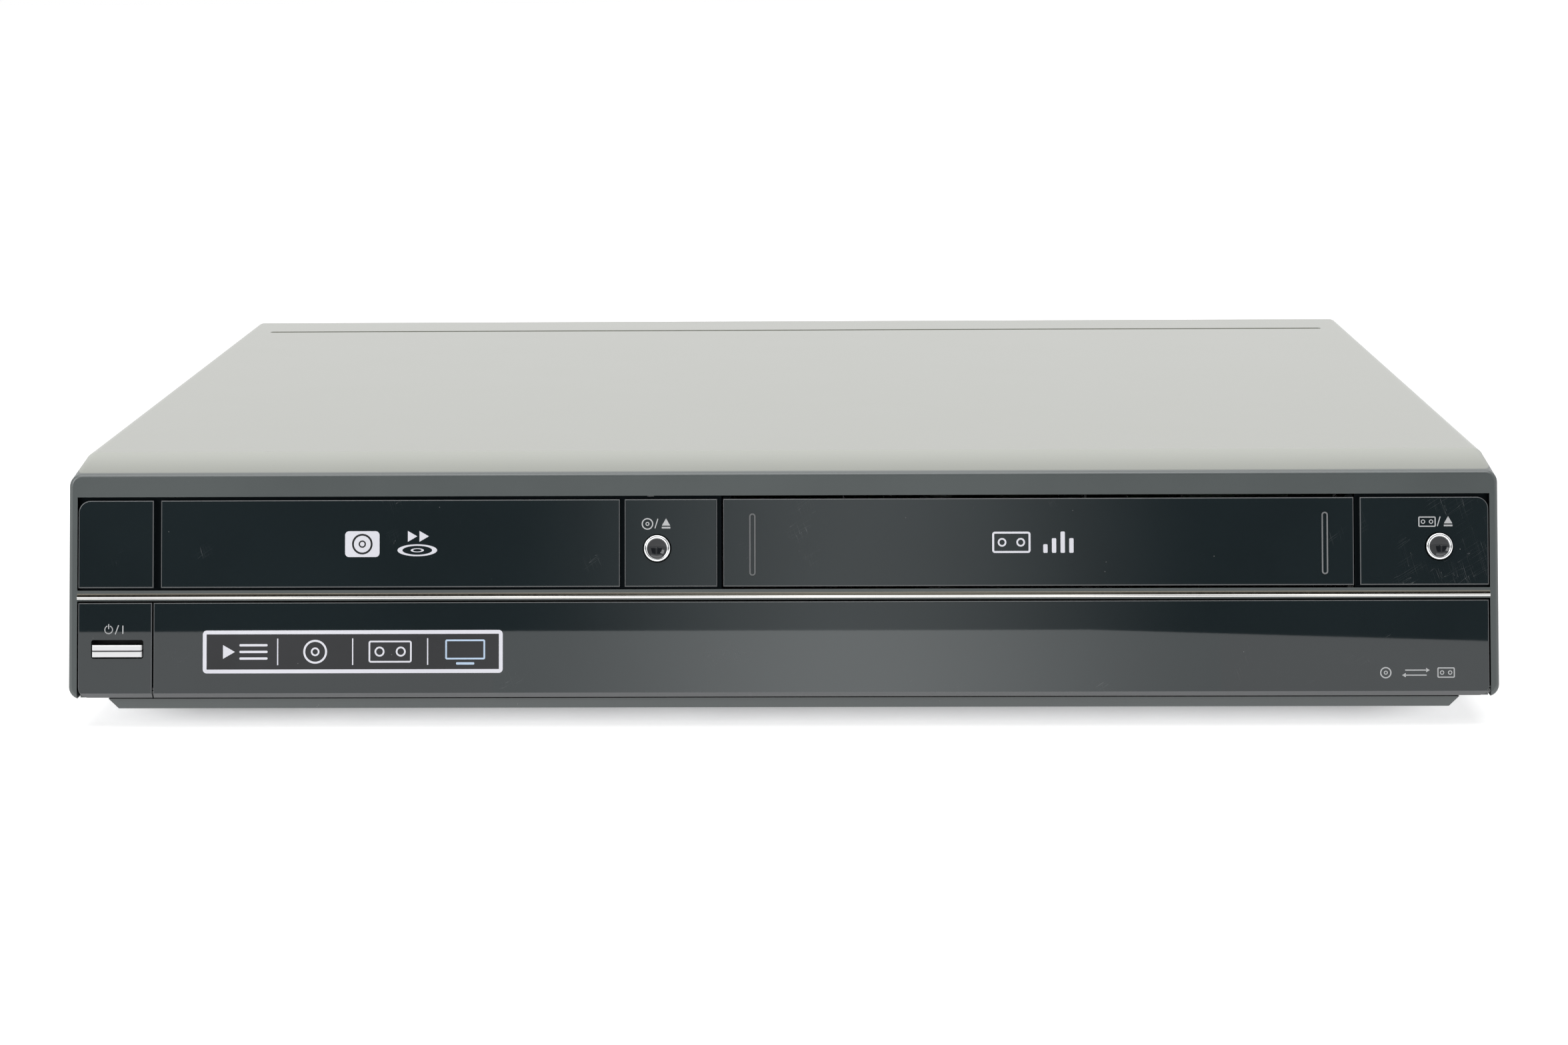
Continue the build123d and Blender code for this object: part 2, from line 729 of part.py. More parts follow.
with BuildPart() as front_flap:
    with BuildSketch(face) as flap_outline:
        panel(flap_x, (flap_bottom_z, flap_top_z))
        fillet(flap_outline.vertices().group_by(Axis.X)[-1].sort_by(Axis.Y)[:1], fold_radius - 0.5)
    extrude(amount=-flap_thickness)
    fillet(front_edges(front_flap.part), panel_edge)
    # Pins stand out of the lower corners, on short bosses behind the panel.
    for pin_x in (flap_x[0] - flap_pin_reach, flap_x[1] - flap_pin_boss):
        with BuildSketch(end_view(pin_x)):
            with Locations((flap_pivot_inset, along(flap_pivot_z))):
                Circle(flap_pin_radius)
        extrude(amount=flap_pin_reach + flap_pin_boss)
    # The lower front edge is bevelled, so that it turns above the chin.
    with BuildSketch(end_view(-half_width)):
        foot_bevel()
    extrude(amount=body_width, mode=Mode.SUBTRACT)
front_flap.part.label = "front_flap"
export_step(front_flap.part, "parts/front_flap.step")

# ---------------------------------------------------------------- controls behind the flap

# Lower edges of the sub-panel and the front board, both just clear of the pan's flange
subpanel_foot_z = pan_flange_top_z + running_gap + (subpanel_depth + subpanel_gauge) * lean_sin
board_foot_z = pan_flange_top_z + running_gap + (board_depth + board_gauge) * lean_sin
key_places = [(key_first_x + i * key_pitch, along(key_z)) for i in range(key_count)]
jack_places = [(jack_first_x + i * jack_pitch, along(front_socket_z)) for i in range(3)]
power_middle = (sum(power_x) / 2, along(sum(power_z) / 2))
power_size = (power_x[1] - power_x[0], along(power_z[1] - power_z[0]))
window_middle = (sum(window_x) / 2, along(sum(window_z) / 2))
window_size = (window_x[1] - window_x[0], along(window_z[1] - window_z[0]))

with BuildPart() as control_subpanel:
    with BuildSketch(face.offset(-subpanel_depth)):
        panel((-recess_half_width, recess_half_width), (subpanel_foot_z, rail_bottom_z + 1.5))
        with Locations(*key_places):
            RectangleRounded(
                key_size[0] + 2 * running_gap,
                key_size[1] + 2 * running_gap,
                key_corner + running_gap,
                mode=Mode.SUBTRACT,
            )
        with Locations(*jack_places):
            Circle(jack_radius, mode=Mode.SUBTRACT)
        with Locations(window_middle):
            Rectangle(*window_size, mode=Mode.SUBTRACT)
        with Locations(power_middle):
            Rectangle(
                power_size[0] + 2 * running_gap,
                power_size[1] + 2 * running_gap,
                mode=Mode.SUBTRACT,
            )
    extrude(amount=-subpanel_gauge)
control_subpanel.part.label = "control_subpanel"
export_step(control_subpanel.part, "parts/control_subpanel.step")

with BuildPart() as display_window:
    with BuildSketch(face.offset(-subpanel_depth + 0.6)):
        with Locations(window_middle):
            Rectangle(*window_size)
    extrude(amount=-0.6 - subpanel_gauge)
display_window.part.label = "display_window"
export_step(display_window.part, "parts/display_window.step")

with BuildPart() as front_board:
    with BuildSketch(face.offset(-board_depth)):
        panel((-recess_half_width, recess_half_width), (board_foot_z, rail_bottom_z))
        panel((disc_insert_x[0] + 2, disc_insert_x[1] - 3), (rail_bottom_z - 1, eject_z + 8))
        panel((tape_insert_x[0] + 4, recess_half_width), (rail_bottom_z - 1, eject_z + 8))
    extrude(amount=-board_gauge)
    switch_places = key_places + [power_middle]
    with BuildSketch(face.offset(-board_depth)):
        with Locations(*switch_places):
            Rectangle(6, 6)
        with Locations((disc_eject_x, along(eject_z)), (tape_eject_x, along(eject_z))):
            Rectangle(6, 6)
    extrude(amount=switch_height)
front_board.part.label = "front_board"
export_step(front_board.part, "parts/front_board.step")

with BuildPart() as front_av_jacks:
    with BuildSketch(face.offset(-subpanel_depth + jack_proud)):
        with Locations(*jack_places):
            Circle(jack_radius)
            Circle(1.7, mode=Mode.SUBTRACT)
    extrude(amount=-(board_depth - subpanel_depth + jack_proud))
front_av_jacks.part.label = "front_av_jacks"
export_step(front_av_jacks.part, "parts/front_av_jacks.step")

key_names = (
    "stop_button",
    "play_button",
    "record_button",
)
for key_name, key_place in zip(key_names, key_places):
    with BuildPart() as key:
        with BuildSketch(face.offset(-subpanel_depth + key_proud)):
            with Locations(key_place):
                RectangleRounded(*key_size, key_corner)
        extrude(amount=-key_proud - subpanel_gauge)
        fillet(front_edges(key.part), 0.5)
        with BuildSketch(face.offset(-subpanel_depth - subpanel_gauge)):
            with Locations(key_place):
                Rectangle(2.4, 2.4)
        extrude(amount=-(board_depth - switch_height - subpanel_depth - subpanel_gauge - key_travel - running_gap))
    key.part.label = key_name
    export_step(key.part, f"parts/{key_name}.step")

with BuildPart() as power_button:
    with BuildSketch(face.offset(power_proud)):
        with Locations(power_middle):
            Rectangle(*power_size)
    extrude(amount=-power_proud - subpanel_depth - subpanel_gauge)
    fillet(front_edges(power_button.part), 0.5)
    with BuildSketch(face.offset(power_proud)):
        with Locations(power_middle):
            Rectangle(power_size[0], power_crease)
    extrude(amount=-power_crease, mode=Mode.SUBTRACT)
    with BuildSketch(face.offset(-subpanel_depth - subpanel_gauge)):
        with Locations(power_middle):
            Rectangle(3, 2.4)
    extrude(amount=-(board_depth - switch_height - subpanel_depth - subpanel_gauge - power_travel - running_gap))
power_button.part.label = "power_button"
export_step(power_button.part, "parts/power_button.step")


# A round button with a proud bright ring, a dished middle and a stem towards its switch
for button_name, button_x in (("dvd_eject_button", disc_eject_x), ("vcr_eject_button", tape_eject_x)):
    middle = along(eject_z)
    stem_end = board_depth - switch_height - eject_travel - running_gap
    dish_rim = eject_radius - ring_width
    with BuildPart() as round_button:
        with BuildSketch(end_view(button_x)):
            with BuildLine():
                Polyline(
                    (dish_depth, middle),
                    (stem_end, middle),
                    (stem_end, middle + 1.6),
                    (front_wall, middle + 1.6),
                    (front_wall, middle + eject_radius),
                    (-0.5, middle + eject_radius),
                )
                ThreePointArc(
                    (-0.5, middle + eject_radius),
                    (-ring_proud, middle + eject_radius - ring_width / 2),
                    (-0.5, middle + dish_rim),
                )
                TangentArc(
                    (dish_depth, middle), (-0.5, middle + dish_rim), tangent=(0, 1)
                )
            make_face()
        revolve(axis=Axis(
            (button_x, face_foot_y + middle * lean_sin, middle * lean_cos), (0, lean_cos, -lean_sin)
        ))
    round_button.part.label = button_name
    export_step(round_button.part, f"parts/{button_name}.step")

# ---------------------------------------------------------------- disc loader

loader_half = tray_width / 2 + running_gap + loader_wall
drive_radius = pinion_teeth * tooth_module / 2
drive_x = rack_line_x + drive_radius
pulley_x = drive_x + (wheel_teeth + small_teeth) * fine_module / 2 + 0.1
wheel_z = loader_floor_top_z + gear_floor_gap
pinion_z = wheel_z + wheel_height

with BuildPart() as disc_tray:
    tray_front_y = face_y(tray_bottom_z) - 1
    with BuildSketch(Plane.XY.offset(tray_bottom_z)) as tray_plan:
        with Locations((loader_x, (tray_front_y + tray_rear_y) / 2)):
            Rectangle(tray_width, tray_rear_y - tray_front_y)
        fillet(tray_plan.vertices().group_by(Axis.Y)[-1], 6)
    extrude(amount=tray_thickness)
    with BuildSketch(Plane.XY.offset(tray_top_z)):
        with Locations((loader_x, disc_centre_y)):
            Circle(disc_radius + recess_play)
    extrude(amount=-disc_recess, mode=Mode.SUBTRACT)
    with BuildSketch(Plane.XY.offset(tray_top_z)):
        with Locations((loader_x, disc_centre_y)):
            Circle(small_disc_radius + recess_play)
    extrude(amount=-small_disc_recess, mode=Mode.SUBTRACT)
    # Hole for the turntable, and a slot for the lens, open to the rear
    with BuildSketch(Plane.XY.offset(tray_bottom_z)):
        with Locations((loader_x, disc_centre_y)):
            Circle(hub_hole_radius)
        with Locations((loader_x, disc_centre_y + 29)):
            RectangleRounded(tray_slot_width, 62, 4)
    extrude(amount=tray_thickness, mode=Mode.SUBTRACT)
    # Finger hollows in the left and right rim
    with BuildSketch(Plane.XY.offset(tray_top_z)):
        with Locations((loader_x - tray_width / 2, disc_centre_y), (loader_x + tray_width / 2, disc_centre_y)):
            Circle(9)
    extrude(amount=-2.0, mode=Mode.SUBTRACT)
    # Rack under the left rim, with its teeth towards the middle
    rack_pitch = pi * tooth_module
    rack_root_x = rack_line_x - dedendum * tooth_module
    rack_depth = tray_bottom_z - pinion_z - 0.6
    tooth_numbers = range(-3, int(tray_travel / rack_pitch) + 2)
    rack_start_y = drive_y + (tooth_numbers[0] - 0.5) * rack_pitch
    rack_end_y = drive_y + (tooth_numbers[-1] + 1.5) * rack_pitch
    with BuildSketch(Plane.XY.offset(tray_bottom_z)):
        with Locations((rack_root_x - 1.2, (rack_start_y + rack_end_y) / 2)):
            Rectangle(2.4, rack_end_y - rack_start_y)
        flank = tan(radians(pressure_angle)) * tooth_module
        rack_half = tooth_share * rack_pitch
        with Locations(*[(rack_line_x, drive_y + (n + 0.5) * rack_pitch) for n in tooth_numbers]):
            Polygon(
                (-dedendum * tooth_module - 0.2, rack_half + flank * dedendum),
                (-dedendum * tooth_module - 0.2, -rack_half - flank * dedendum),
                (addendum * tooth_module, -rack_half + flank * addendum),
                (addendum * tooth_module, rack_half - flank * addendum),
                align=None,
            )
    extrude(amount=-rack_depth)
    split(bisect_by=face.offset(-door_thickness), keep=Keep.BOTTOM)
disc_tray.part.label = "disc_tray"
export_step(disc_tray.part, "parts/disc_tray.step")

with BuildPart() as tray_front:
    with BuildSketch(face):
        panel(tray_front_x, insert_z)
    extrude(amount=-door_thickness)
    fillet(front_edges(tray_front.part), panel_edge)
tray_front.part.label = "tray_front"
export_step(tray_front.part, "parts/tray_front.step")

with BuildPart() as loader_frame:
    with BuildSketch(Plane.XZ.offset(-loader_front_y)):
        inner = tray_width / 2 + running_gap
        with Locations((loader_x, (loader_wall_bottom_z + loader_wall_top_z) / 2)):
            Rectangle(2 * loader_half, loader_wall_top_z - loader_wall_bottom_z)
            Rectangle(2 * inner, loader_wall_top_z - loader_wall_bottom_z, mode=Mode.SUBTRACT)
        with Locations((loader_x, loader_floor_z + loader_floor / 2)):
            Rectangle(2 * inner, loader_floor)
        for side in (-1, 1):
            with Locations((loader_x + side * (inner - tray_ledge / 2), tray_bottom_z - running_gap - 1.0)):
                Rectangle(tray_ledge, 2.0)
            with Locations((loader_x + side * (inner - tray_hold_down / 2), tray_top_z + running_gap + 1.0)):
                Rectangle(tray_hold_down, 2.0)
    extrude(amount=-(loader_rear_y - loader_front_y))
    with BuildSketch(Plane.XY.offset(loader_floor_z)):
        with Locations((loader_x, traverse_y)):
            RectangleRounded(traverse_size[0] - 2 * traverse_rim, traverse_size[1] - 2 * traverse_rim, 4)
        with Locations((motor_x, drive_y)):
            Circle(motor_pulley_radius + 1.2)
    extrude(amount=loader_floor, mode=Mode.SUBTRACT)
    # Four legs stand on the pan.
    with BuildSketch(Plane.XY.offset(pan_top_z)):
        leg_y = (loader_front_y + loader_rear_y) / 2
        with Locations((loader_x, leg_y)):
            with GridLocations(
                2 * loader_half - loader_wall, loader_rear_y - loader_front_y - loader_leg_length, 2, 2
            ):
                Rectangle(loader_wall, loader_leg_length)
    extrude(amount=loader_wall_bottom_z - pan_top_z)
    # Upright shafts for the two gear wheels
    with BuildSketch(Plane.XY.offset(loader_floor_top_z)):
        with Locations((drive_x, drive_y), (pulley_x, drive_y)):
            Circle(gear_shaft_radius)
    extrude(amount=tray_bottom_z - loader_floor_top_z - 0.8)
loader_frame.part.label = "loader_frame"
export_step(loader_frame.part, "parts/loader_frame.step")

with BuildPart() as drive_gear:
    with BuildSketch(Plane.XY.offset(wheel_z)):
        with Locations((drive_x, drive_y)):
            toothed_wheel(wheel_teeth, fine_module, 0)
    extrude(amount=wheel_height)
    with BuildSketch(Plane.XY.offset(pinion_z)):
        with Locations((drive_x, drive_y)):
            toothed_wheel(pinion_teeth, tooth_module, 180)
    extrude(amount=pinion_height)
    with BuildSketch(Plane.XY.offset(wheel_z)):
        with Locations((drive_x, drive_y)):
            Circle(gear_shaft_radius + shaft_fit)
    extrude(amount=wheel_height + pinion_height, mode=Mode.SUBTRACT)
drive_gear.part.label = "drive_gear"
export_step(drive_gear.part, "parts/drive_gear.step")


def pulley_section(radius, height, bore):
    """Half section of a pulley with two flanges and a groove, standing on z = 0."""
    rim = radius + pulley_flange
    lip = (height - belt_size) / 2 - 0.3
    return [
        (bore, 0), (rim, 0), (rim, lip), (radius, lip + 0.3),
        (radius, height - lip - 0.3), (rim, height - lip), (rim, height), (bore, height),
    ]


pulley_height = 2.8
with BuildPart() as pulley_gear:
    with BuildSketch(Plane.XY.offset(wheel_z)):
        with Locations((pulley_x, drive_y)):
            toothed_wheel(small_teeth, fine_module, 180 + 180 / small_teeth)
    extrude(amount=wheel_height + 0.4)
    with BuildSketch(Plane.XZ.offset(-drive_y)):
        with Locations((pulley_x, pinion_z + 0.4)):
            Polygon(*pulley_section(pulley_radius, pulley_height, 0.5), align=None)
    revolve(axis=Axis((pulley_x, drive_y, 0), (0, 0, 1)))
    with BuildSketch(Plane.XY.offset(wheel_z)):
        with Locations((pulley_x, drive_y)):
            Circle(gear_shaft_radius + shaft_fit)
    extrude(amount=wheel_height + pulley_height + 0.4, mode=Mode.SUBTRACT)
pulley_gear.part.label = "pulley_gear"
export_step(pulley_gear.part, "parts/pulley_gear.step")

motor_shaft_radius = 1.0
with BuildPart() as motor_pulley:
    with BuildSketch(Plane.XZ.offset(-drive_y)):
        with Locations((motor_x, pinion_z + 0.4)):
            Polygon(*pulley_section(motor_pulley_radius, pulley_height, motor_shaft_radius + 0.1), align=None)
    revolve(axis=Axis((motor_x, drive_y, 0), (0, 0, 1)))
motor_pulley.part.label = "motor_pulley"
export_step(motor_pulley.part, "parts/motor_pulley.step")


def belt_loop(clear):
    """The loop round both pulleys at a distance outside their grooves."""
    with BuildSketch(Plane.XY.offset(pinion_z + 0.4 + (pulley_height - belt_size) / 2)) as loop:
        with Locations((pulley_x, drive_y)):
            Circle(pulley_radius + clear)
        with Locations((motor_x, drive_y)):
            Circle(motor_pulley_radius + clear)
        make_hull()
    return loop.sketch


with BuildPart() as drive_belt:
    extrude(belt_loop(shaft_fit + belt_size), amount=belt_size)
    extrude(belt_loop(shaft_fit), amount=belt_size, mode=Mode.SUBTRACT)
drive_belt.part.label = "drive_belt"
export_step(drive_belt.part, "parts/drive_belt.step")

with BuildPart() as loading_motor:
    with BuildSketch(Plane.XY.offset(loader_floor_z - loading_motor_height)):
        with Locations((motor_x, drive_y)):
            Circle(loading_motor_radius)
    extrude(amount=loading_motor_height)
    chamfer(loading_motor.faces().sort_by(Axis.Z)[0].edges(), 0.8)
    with BuildSketch(Plane.XY.offset(loader_floor_z)):
        with Locations((motor_x, drive_y)):
            Circle(motor_shaft_radius)
    extrude(amount=pinion_z + pulley_height - loader_floor_z)
loading_motor.part.label = "loading_motor"
export_step(loading_motor.part, "parts/loading_motor.step")

# The traverse frame lies under the floor opening and carries motor, rods and sled.
traverse_z = loader_floor_z - traverse_gauge
lug_y = (disc_centre_y + spindle_motor_radius + 1.2, traverse_y + traverse_size[1] / 2 - traverse_rim - 4)
with BuildPart() as traverse_frame:
    with BuildSketch(Plane.XY.offset(traverse_z)):
        with Locations((loader_x, traverse_y)):
            RectangleRounded(*traverse_size, 5)
        with Locations((loader_x, (lug_y[0] + lug_y[1]) / 2 + 2)):
            Rectangle(sled_size[0] - 14, lug_y[1] - lug_y[0] - 4, mode=Mode.SUBTRACT)
        with Locations((loader_x, disc_centre_y)):
            Circle(spindle_boss_radius, mode=Mode.SUBTRACT)
    extrude(amount=traverse_gauge)
    with BuildSketch(Plane.XY.offset(loader_floor_z)):
        for rod_lug_y in lug_y:
            with Locations((loader_x - rod_spacing / 2, rod_lug_y), (loader_x + rod_spacing / 2, rod_lug_y)):
                Rectangle(6, 3)
    extrude(amount=rod_z + 2.4 - loader_floor_z)
    with BuildSketch(Plane.XZ.offset(-lug_y[0] + 2)):
        with Locations((loader_x - rod_spacing / 2, rod_z), (loader_x + rod_spacing / 2, rod_z)):
            Circle(rod_radius)
    extrude(amount=-(lug_y[1] - lug_y[0] + 4), mode=Mode.SUBTRACT)
traverse_frame.part.label = "traverse_frame"
export_step(traverse_frame.part, "parts/traverse_frame.step")

with BuildPart() as guide_rods:
    with BuildSketch(Plane.XZ.offset(-lug_y[0] + 1.5)):
        with Locations((loader_x - rod_spacing / 2, rod_z), (loader_x + rod_spacing / 2, rod_z)):
            Circle(rod_radius)
    extrude(amount=-(lug_y[1] - lug_y[0] + 3))
guide_rods.part.label = "guide_rods"
export_step(guide_rods.part, "parts/guide_rods.step")

with BuildPart() as spindle_motor:
    with BuildSketch(Plane.XY.offset(traverse_z - spindle_motor_height)):
        with Locations((loader_x, disc_centre_y)):
            Circle(spindle_motor_radius)
    extrude(amount=spindle_motor_height)
    with BuildSketch(Plane.XY.offset(traverse_z)):
        with Locations((loader_x, disc_centre_y)):
            Circle(spindle_boss_radius)
    extrude(amount=traverse_gauge + 1.6)
spindle_motor.part.label = "spindle_motor"
export_step(spindle_motor.part, "parts/spindle_motor.step")

with BuildPart() as turntable:
    with BuildSketch(Plane.XZ.offset(-disc_centre_y)):
        with Locations((loader_x, loader_floor_z + 1.6 + running_gap)):
            Polygon(
                (0, 0), (turntable_radius, 0), (turntable_radius, 2.6), (spindle_radius, 2.6),
                (spindle_radius, 3.6), (spindle_radius - 2.6, 5.6), (0, 5.6),
                align=None,
            )
    revolve(axis=Axis((loader_x, disc_centre_y, 0), (0, 0, 1)))
turntable.part.label = "turntable"
export_step(turntable.part, "parts/turntable.step")

with BuildPart() as pickup_sled:
    sled_z = loader_floor_z + running_gap
    with BuildSketch(Plane.XY.offset(sled_z)):
        with Locations((loader_x, sled_y)):
            RectangleRounded(*sled_size, 2)
    extrude(amount=sled_height)
    with BuildSketch(Plane.XY.offset(sled_z + sled_height)):
        with Locations((loader_x, sled_y)):
            Circle(4.5)
    extrude(amount=1.0)
    with BuildSketch(Plane.XY.offset(sled_z + sled_height + 1.0)):
        with Locations((loader_x, sled_y)):
            Circle(2.2)
    extrude(amount=0.6)
    with BuildSketch(Plane.XZ.offset(-(sled_y - sled_size[1]))):
        with Locations((loader_x - rod_spacing / 2, rod_z), (loader_x + rod_spacing / 2, rod_z)):
            Circle(rod_radius + shaft_fit)
    extrude(amount=-2 * sled_size[1], mode=Mode.SUBTRACT)
pickup_sled.part.label = "pickup_sled"
export_step(pickup_sled.part, "parts/pickup_sled.step")

with BuildPart() as clamp_bridge:
    with BuildSketch(Plane.XY.offset(loader_wall_top_z)):
        with Locations((loader_x, disc_centre_y)):
            Rectangle(2 * loader_half, bridge_width)
            Circle(clamper_radius + 6)
            Circle(clamper_neck + 2 * running_gap, mode=Mode.SUBTRACT)
    extrude(amount=bridge_gauge)
clamp_bridge.part.label = "clamp_bridge"
export_step(clamp_bridge.part, "parts/clamp_bridge.step")

with BuildPart() as clamper:
    with BuildSketch(Plane.XZ.offset(-disc_centre_y)):
        with Locations((loader_x, loader_wall_top_z + bridge_gauge + running_gap)):
            Polygon(
                (0, 2.2), (clamper_radius - 0.8, 2.2), (clamper_radius, 1.4), (clamper_radius, 0),
                (clamper_neck, 0), (clamper_neck, -4.2), (0, -4.2),
                align=None,
            )
    revolve(axis=Axis((loader_x, disc_centre_y, 0), (0, 0, 1)))
clamper.part.label = "clamper"
export_step(clamper.part, "parts/clamper.step")

# ---------------------------------------------------------------- tape deck

holder_half = cassette_size[0] / 2 + cassette_play + holder_gauge
holder_depth = cassette_size[1] + 1.0
holder_rear_y = holder_front_y + holder_depth
holder_height = cassette_size[2] + 2 * cassette_play + 2 * holder_gauge
holder_middle_z = holder_bottom_z + holder_height / 2
reel_y = holder_rear_y - reel_to_tape_edge
capstan_place = (deck_x + capstan_offset[0], capstan_offset[1])
pinch_pivot = (deck_x + pinch_pivot_offset[0], pinch_pivot_offset[1])
drum_axis = Axis(
    (deck_x, drum_y, deck_top_z), (0, -sin(radians(drum_tilt)), cos(radians(drum_tilt)))
)
drum_plane = Plane(
    origin=(deck_x, drum_y, deck_top_z),
    x_dir=(1, 0, 0),
    z_dir=(0, -cos(radians(drum_tilt)), -sin(radians(drum_tilt))),
)

with BuildPart() as deck_chassis:
    with BuildSketch(Plane.XZ.offset(-deck_front_y)):
        with Locations((deck_x, (deck_plate_z + deck_side_top_z) / 2)):
            Rectangle(2 * deck_half_width, deck_side_top_z - deck_plate_z)
        with Locations((deck_x, (deck_top_z + deck_side_top_z) / 2)):
            Rectangle(2 * (deck_half_width - deck_gauge), deck_side_top_z - deck_top_z, mode=Mode.SUBTRACT)
    extrude(amount=-(deck_rear_y - deck_front_y))
    # Behind the cassette the sides drop to a low flange.
    with BuildSketch(Plane.YZ.offset(deck_x - deck_half_width - 1)):
        rear_length = deck_rear_y - deck_side_rear_y + 1
        cut_height = deck_side_top_z - deck_top_z - deck_flange_height + 1
        with Locations((deck_side_rear_y + rear_length / 2, deck_side_top_z + 1 - cut_height / 2)):
            Rectangle(rear_length, cut_height)
        # Slots in which the pins of the cassette holder run
        for pin_y in (-holder_pin_pitch / 2, holder_pin_pitch / 2):
            with Locations(((holder_front_y + holder_rear_y) / 2 + pin_y, holder_middle_z - holder_drop / 2)):
                SlotOverall(
                    holder_drop + 2 * (holder_pin_radius + running_gap),
                    2 * (holder_pin_radius + running_gap),
                    rotation=90,
                )
    extrude(amount=2 * deck_half_width + 2, mode=Mode.SUBTRACT)
    # Shafts for the reels and the pinch arm, and a bearing for the capstan
    with BuildSketch(Plane.XY.offset(deck_top_z)):
        with Locations((deck_x, reel_y)):
            with GridLocations(reel_spacing, 0, 2, 1):
                Circle(reel_shaft_radius)
        with Locations(pinch_pivot):
            Circle(reel_shaft_radius)
    extrude(amount=12)
    with BuildSketch(Plane.XY.offset(deck_top_z)):
        with Locations(capstan_place):
            Circle(4)
    extrude(amount=6)
    with BuildSketch(Plane.XY.offset(deck_plate_z)):
        with Locations(capstan_place):
            Circle(capstan_radius + shaft_fit)
    extrude(amount=12, mode=Mode.SUBTRACT)
deck_chassis.part.label = "deck_chassis"
export_step(deck_chassis.part, "parts/deck_chassis.step")

with BuildPart() as cassette_holder:
    with BuildSketch(Plane.XZ.offset(-holder_front_y)):
        with Locations((deck_x, holder_middle_z)):
            Rectangle(2 * holder_half, holder_height)
            Rectangle(2 * (holder_half - holder_gauge), holder_height - 2 * holder_gauge, mode=Mode.SUBTRACT)
    extrude(amount=-holder_depth)
    with BuildSketch(Plane.XY.offset(holder_bottom_z)):
        opening_length = holder_depth - holder_front_ledge + 1
        with Locations((deck_x, holder_rear_y + 1 - opening_length / 2)):
            Rectangle(2 * (holder_half - holder_ledge), opening_length)
    extrude(amount=holder_gauge, mode=Mode.SUBTRACT)
    with BuildSketch(Plane.XY.offset(holder_bottom_z + holder_height)):
        with Locations((deck_x, (holder_front_y + holder_rear_y) / 2)):
            with GridLocations(86, 0, 2, 1):
                RectangleRounded(66, holder_depth - 34, 4)
    extrude(amount=-holder_gauge, mode=Mode.SUBTRACT)
    for pin_x, pin_length in ((deck_x - deck_half_width, 1), (deck_x + holder_half, 1)):
        with BuildSketch(Plane.YZ.offset(pin_x)):
            for pin_y in (-holder_pin_pitch / 2, holder_pin_pitch / 2):
                with Locations(((holder_front_y + holder_rear_y) / 2 + pin_y, holder_middle_z)):
                    Circle(holder_pin_radius)
        extrude(amount=deck_half_width - holder_half)
cassette_holder.part.label = "cassette_holder"
export_step(cassette_holder.part, "parts/cassette_holder.step")

for reel_name, reel_side in (("supply_reel", -1), ("takeup_reel", 1)):
    reel_x = deck_x + reel_side * reel_spacing / 2
    with BuildPart() as reel:
        with BuildSketch(Plane.XZ.offset(-reel_y)):
            with Locations((reel_x, deck_top_z + running_gap)):
                Polygon(
                    (0, 0), (reel_radius, 0), (reel_radius, 3.2), (reel_radius - 1.2, 3.8), (11, 3.8),
                    (11, 8.4), (6, 8.8), (4.2, 9.4), (4.2, 18.4), (2.0, 20), (0, 20),
                    align=None,
                )
        revolve(axis=Axis((reel_x, reel_y, 0), (0, 0, 1)))
        # Three splines catch the hub of the cassette.
        with BuildSketch(Plane.XY.offset(deck_top_z + running_gap + 9.2)):
            with Locations((reel_x, reel_y)):
                with PolarLocations(4.6, 3):
                    Rectangle(2.8, 1.3)
        extrude(amount=7.5)
        with BuildSketch(Plane.XY.offset(deck_top_z + running_gap)):
            with Locations((reel_x, reel_y)):
                Circle(reel_shaft_radius + shaft_fit)
        extrude(amount=13, mode=Mode.SUBTRACT)
    reel.part.label = reel_name
    export_step(reel.part, f"parts/{reel_name}.step")

with BuildPart() as lower_drum:
    with BuildSketch(drum_plane):
        Polygon(
            (drum_shaft_radius + shaft_fit, -6), (drum_radius + 4, -6), (drum_radius + 4, 6),
            (drum_radius, 6), (drum_radius, drum_split), (drum_shaft_radius + shaft_fit, drum_split),
            align=None,
        )
    revolve(axis=drum_axis)
    split(bisect_by=Plane.XY.offset(deck_top_z), keep=Keep.TOP)
lower_drum.part.label = "lower_drum"
export_step(lower_drum.part, "parts/lower_drum.step")

with BuildPart() as upper_drum:
    with BuildSketch(drum_plane):
        Polygon(
            (0, 5), (drum_shaft_radius, 5), (drum_shaft_radius, drum_split + running_gap),
            (drum_radius, drum_split + running_gap), (drum_radius, drum_height),
            (drum_radius - 9, drum_height), (drum_radius - 9, drum_height - 3), (12, drum_height - 3),
            (12, drum_height + 2), (0, drum_height + 2),
            align=None,
        )
    revolve(axis=drum_axis)
upper_drum.part.label = "upper_drum"
export_step(upper_drum.part, "parts/upper_drum.step")

with BuildPart() as capstan:
    with BuildSketch(Plane.XZ.offset(-capstan_place[1])):
        with Locations((capstan_place[0], 0)):
            Polygon(
                (0, flywheel_z[0]), (flywheel_radius, flywheel_z[0]), (flywheel_radius, flywheel_z[1]),
                (flywheel_radius - 4, flywheel_z[1]), (flywheel_radius - 4, flywheel_z[0] + 2),
                (5, flywheel_z[0] + 2), (5, flywheel_z[1]), (capstan_radius, flywheel_z[1]),
                (capstan_radius, capstan_top_z - 0.6), (capstan_radius - 0.6, capstan_top_z),
                (0, capstan_top_z),
                align=None,
            )
    revolve(axis=Axis((capstan_place[0], capstan_place[1], 0), (0, 0, 1)))
capstan.part.label = "capstan"
export_step(capstan.part, "parts/capstan.step")

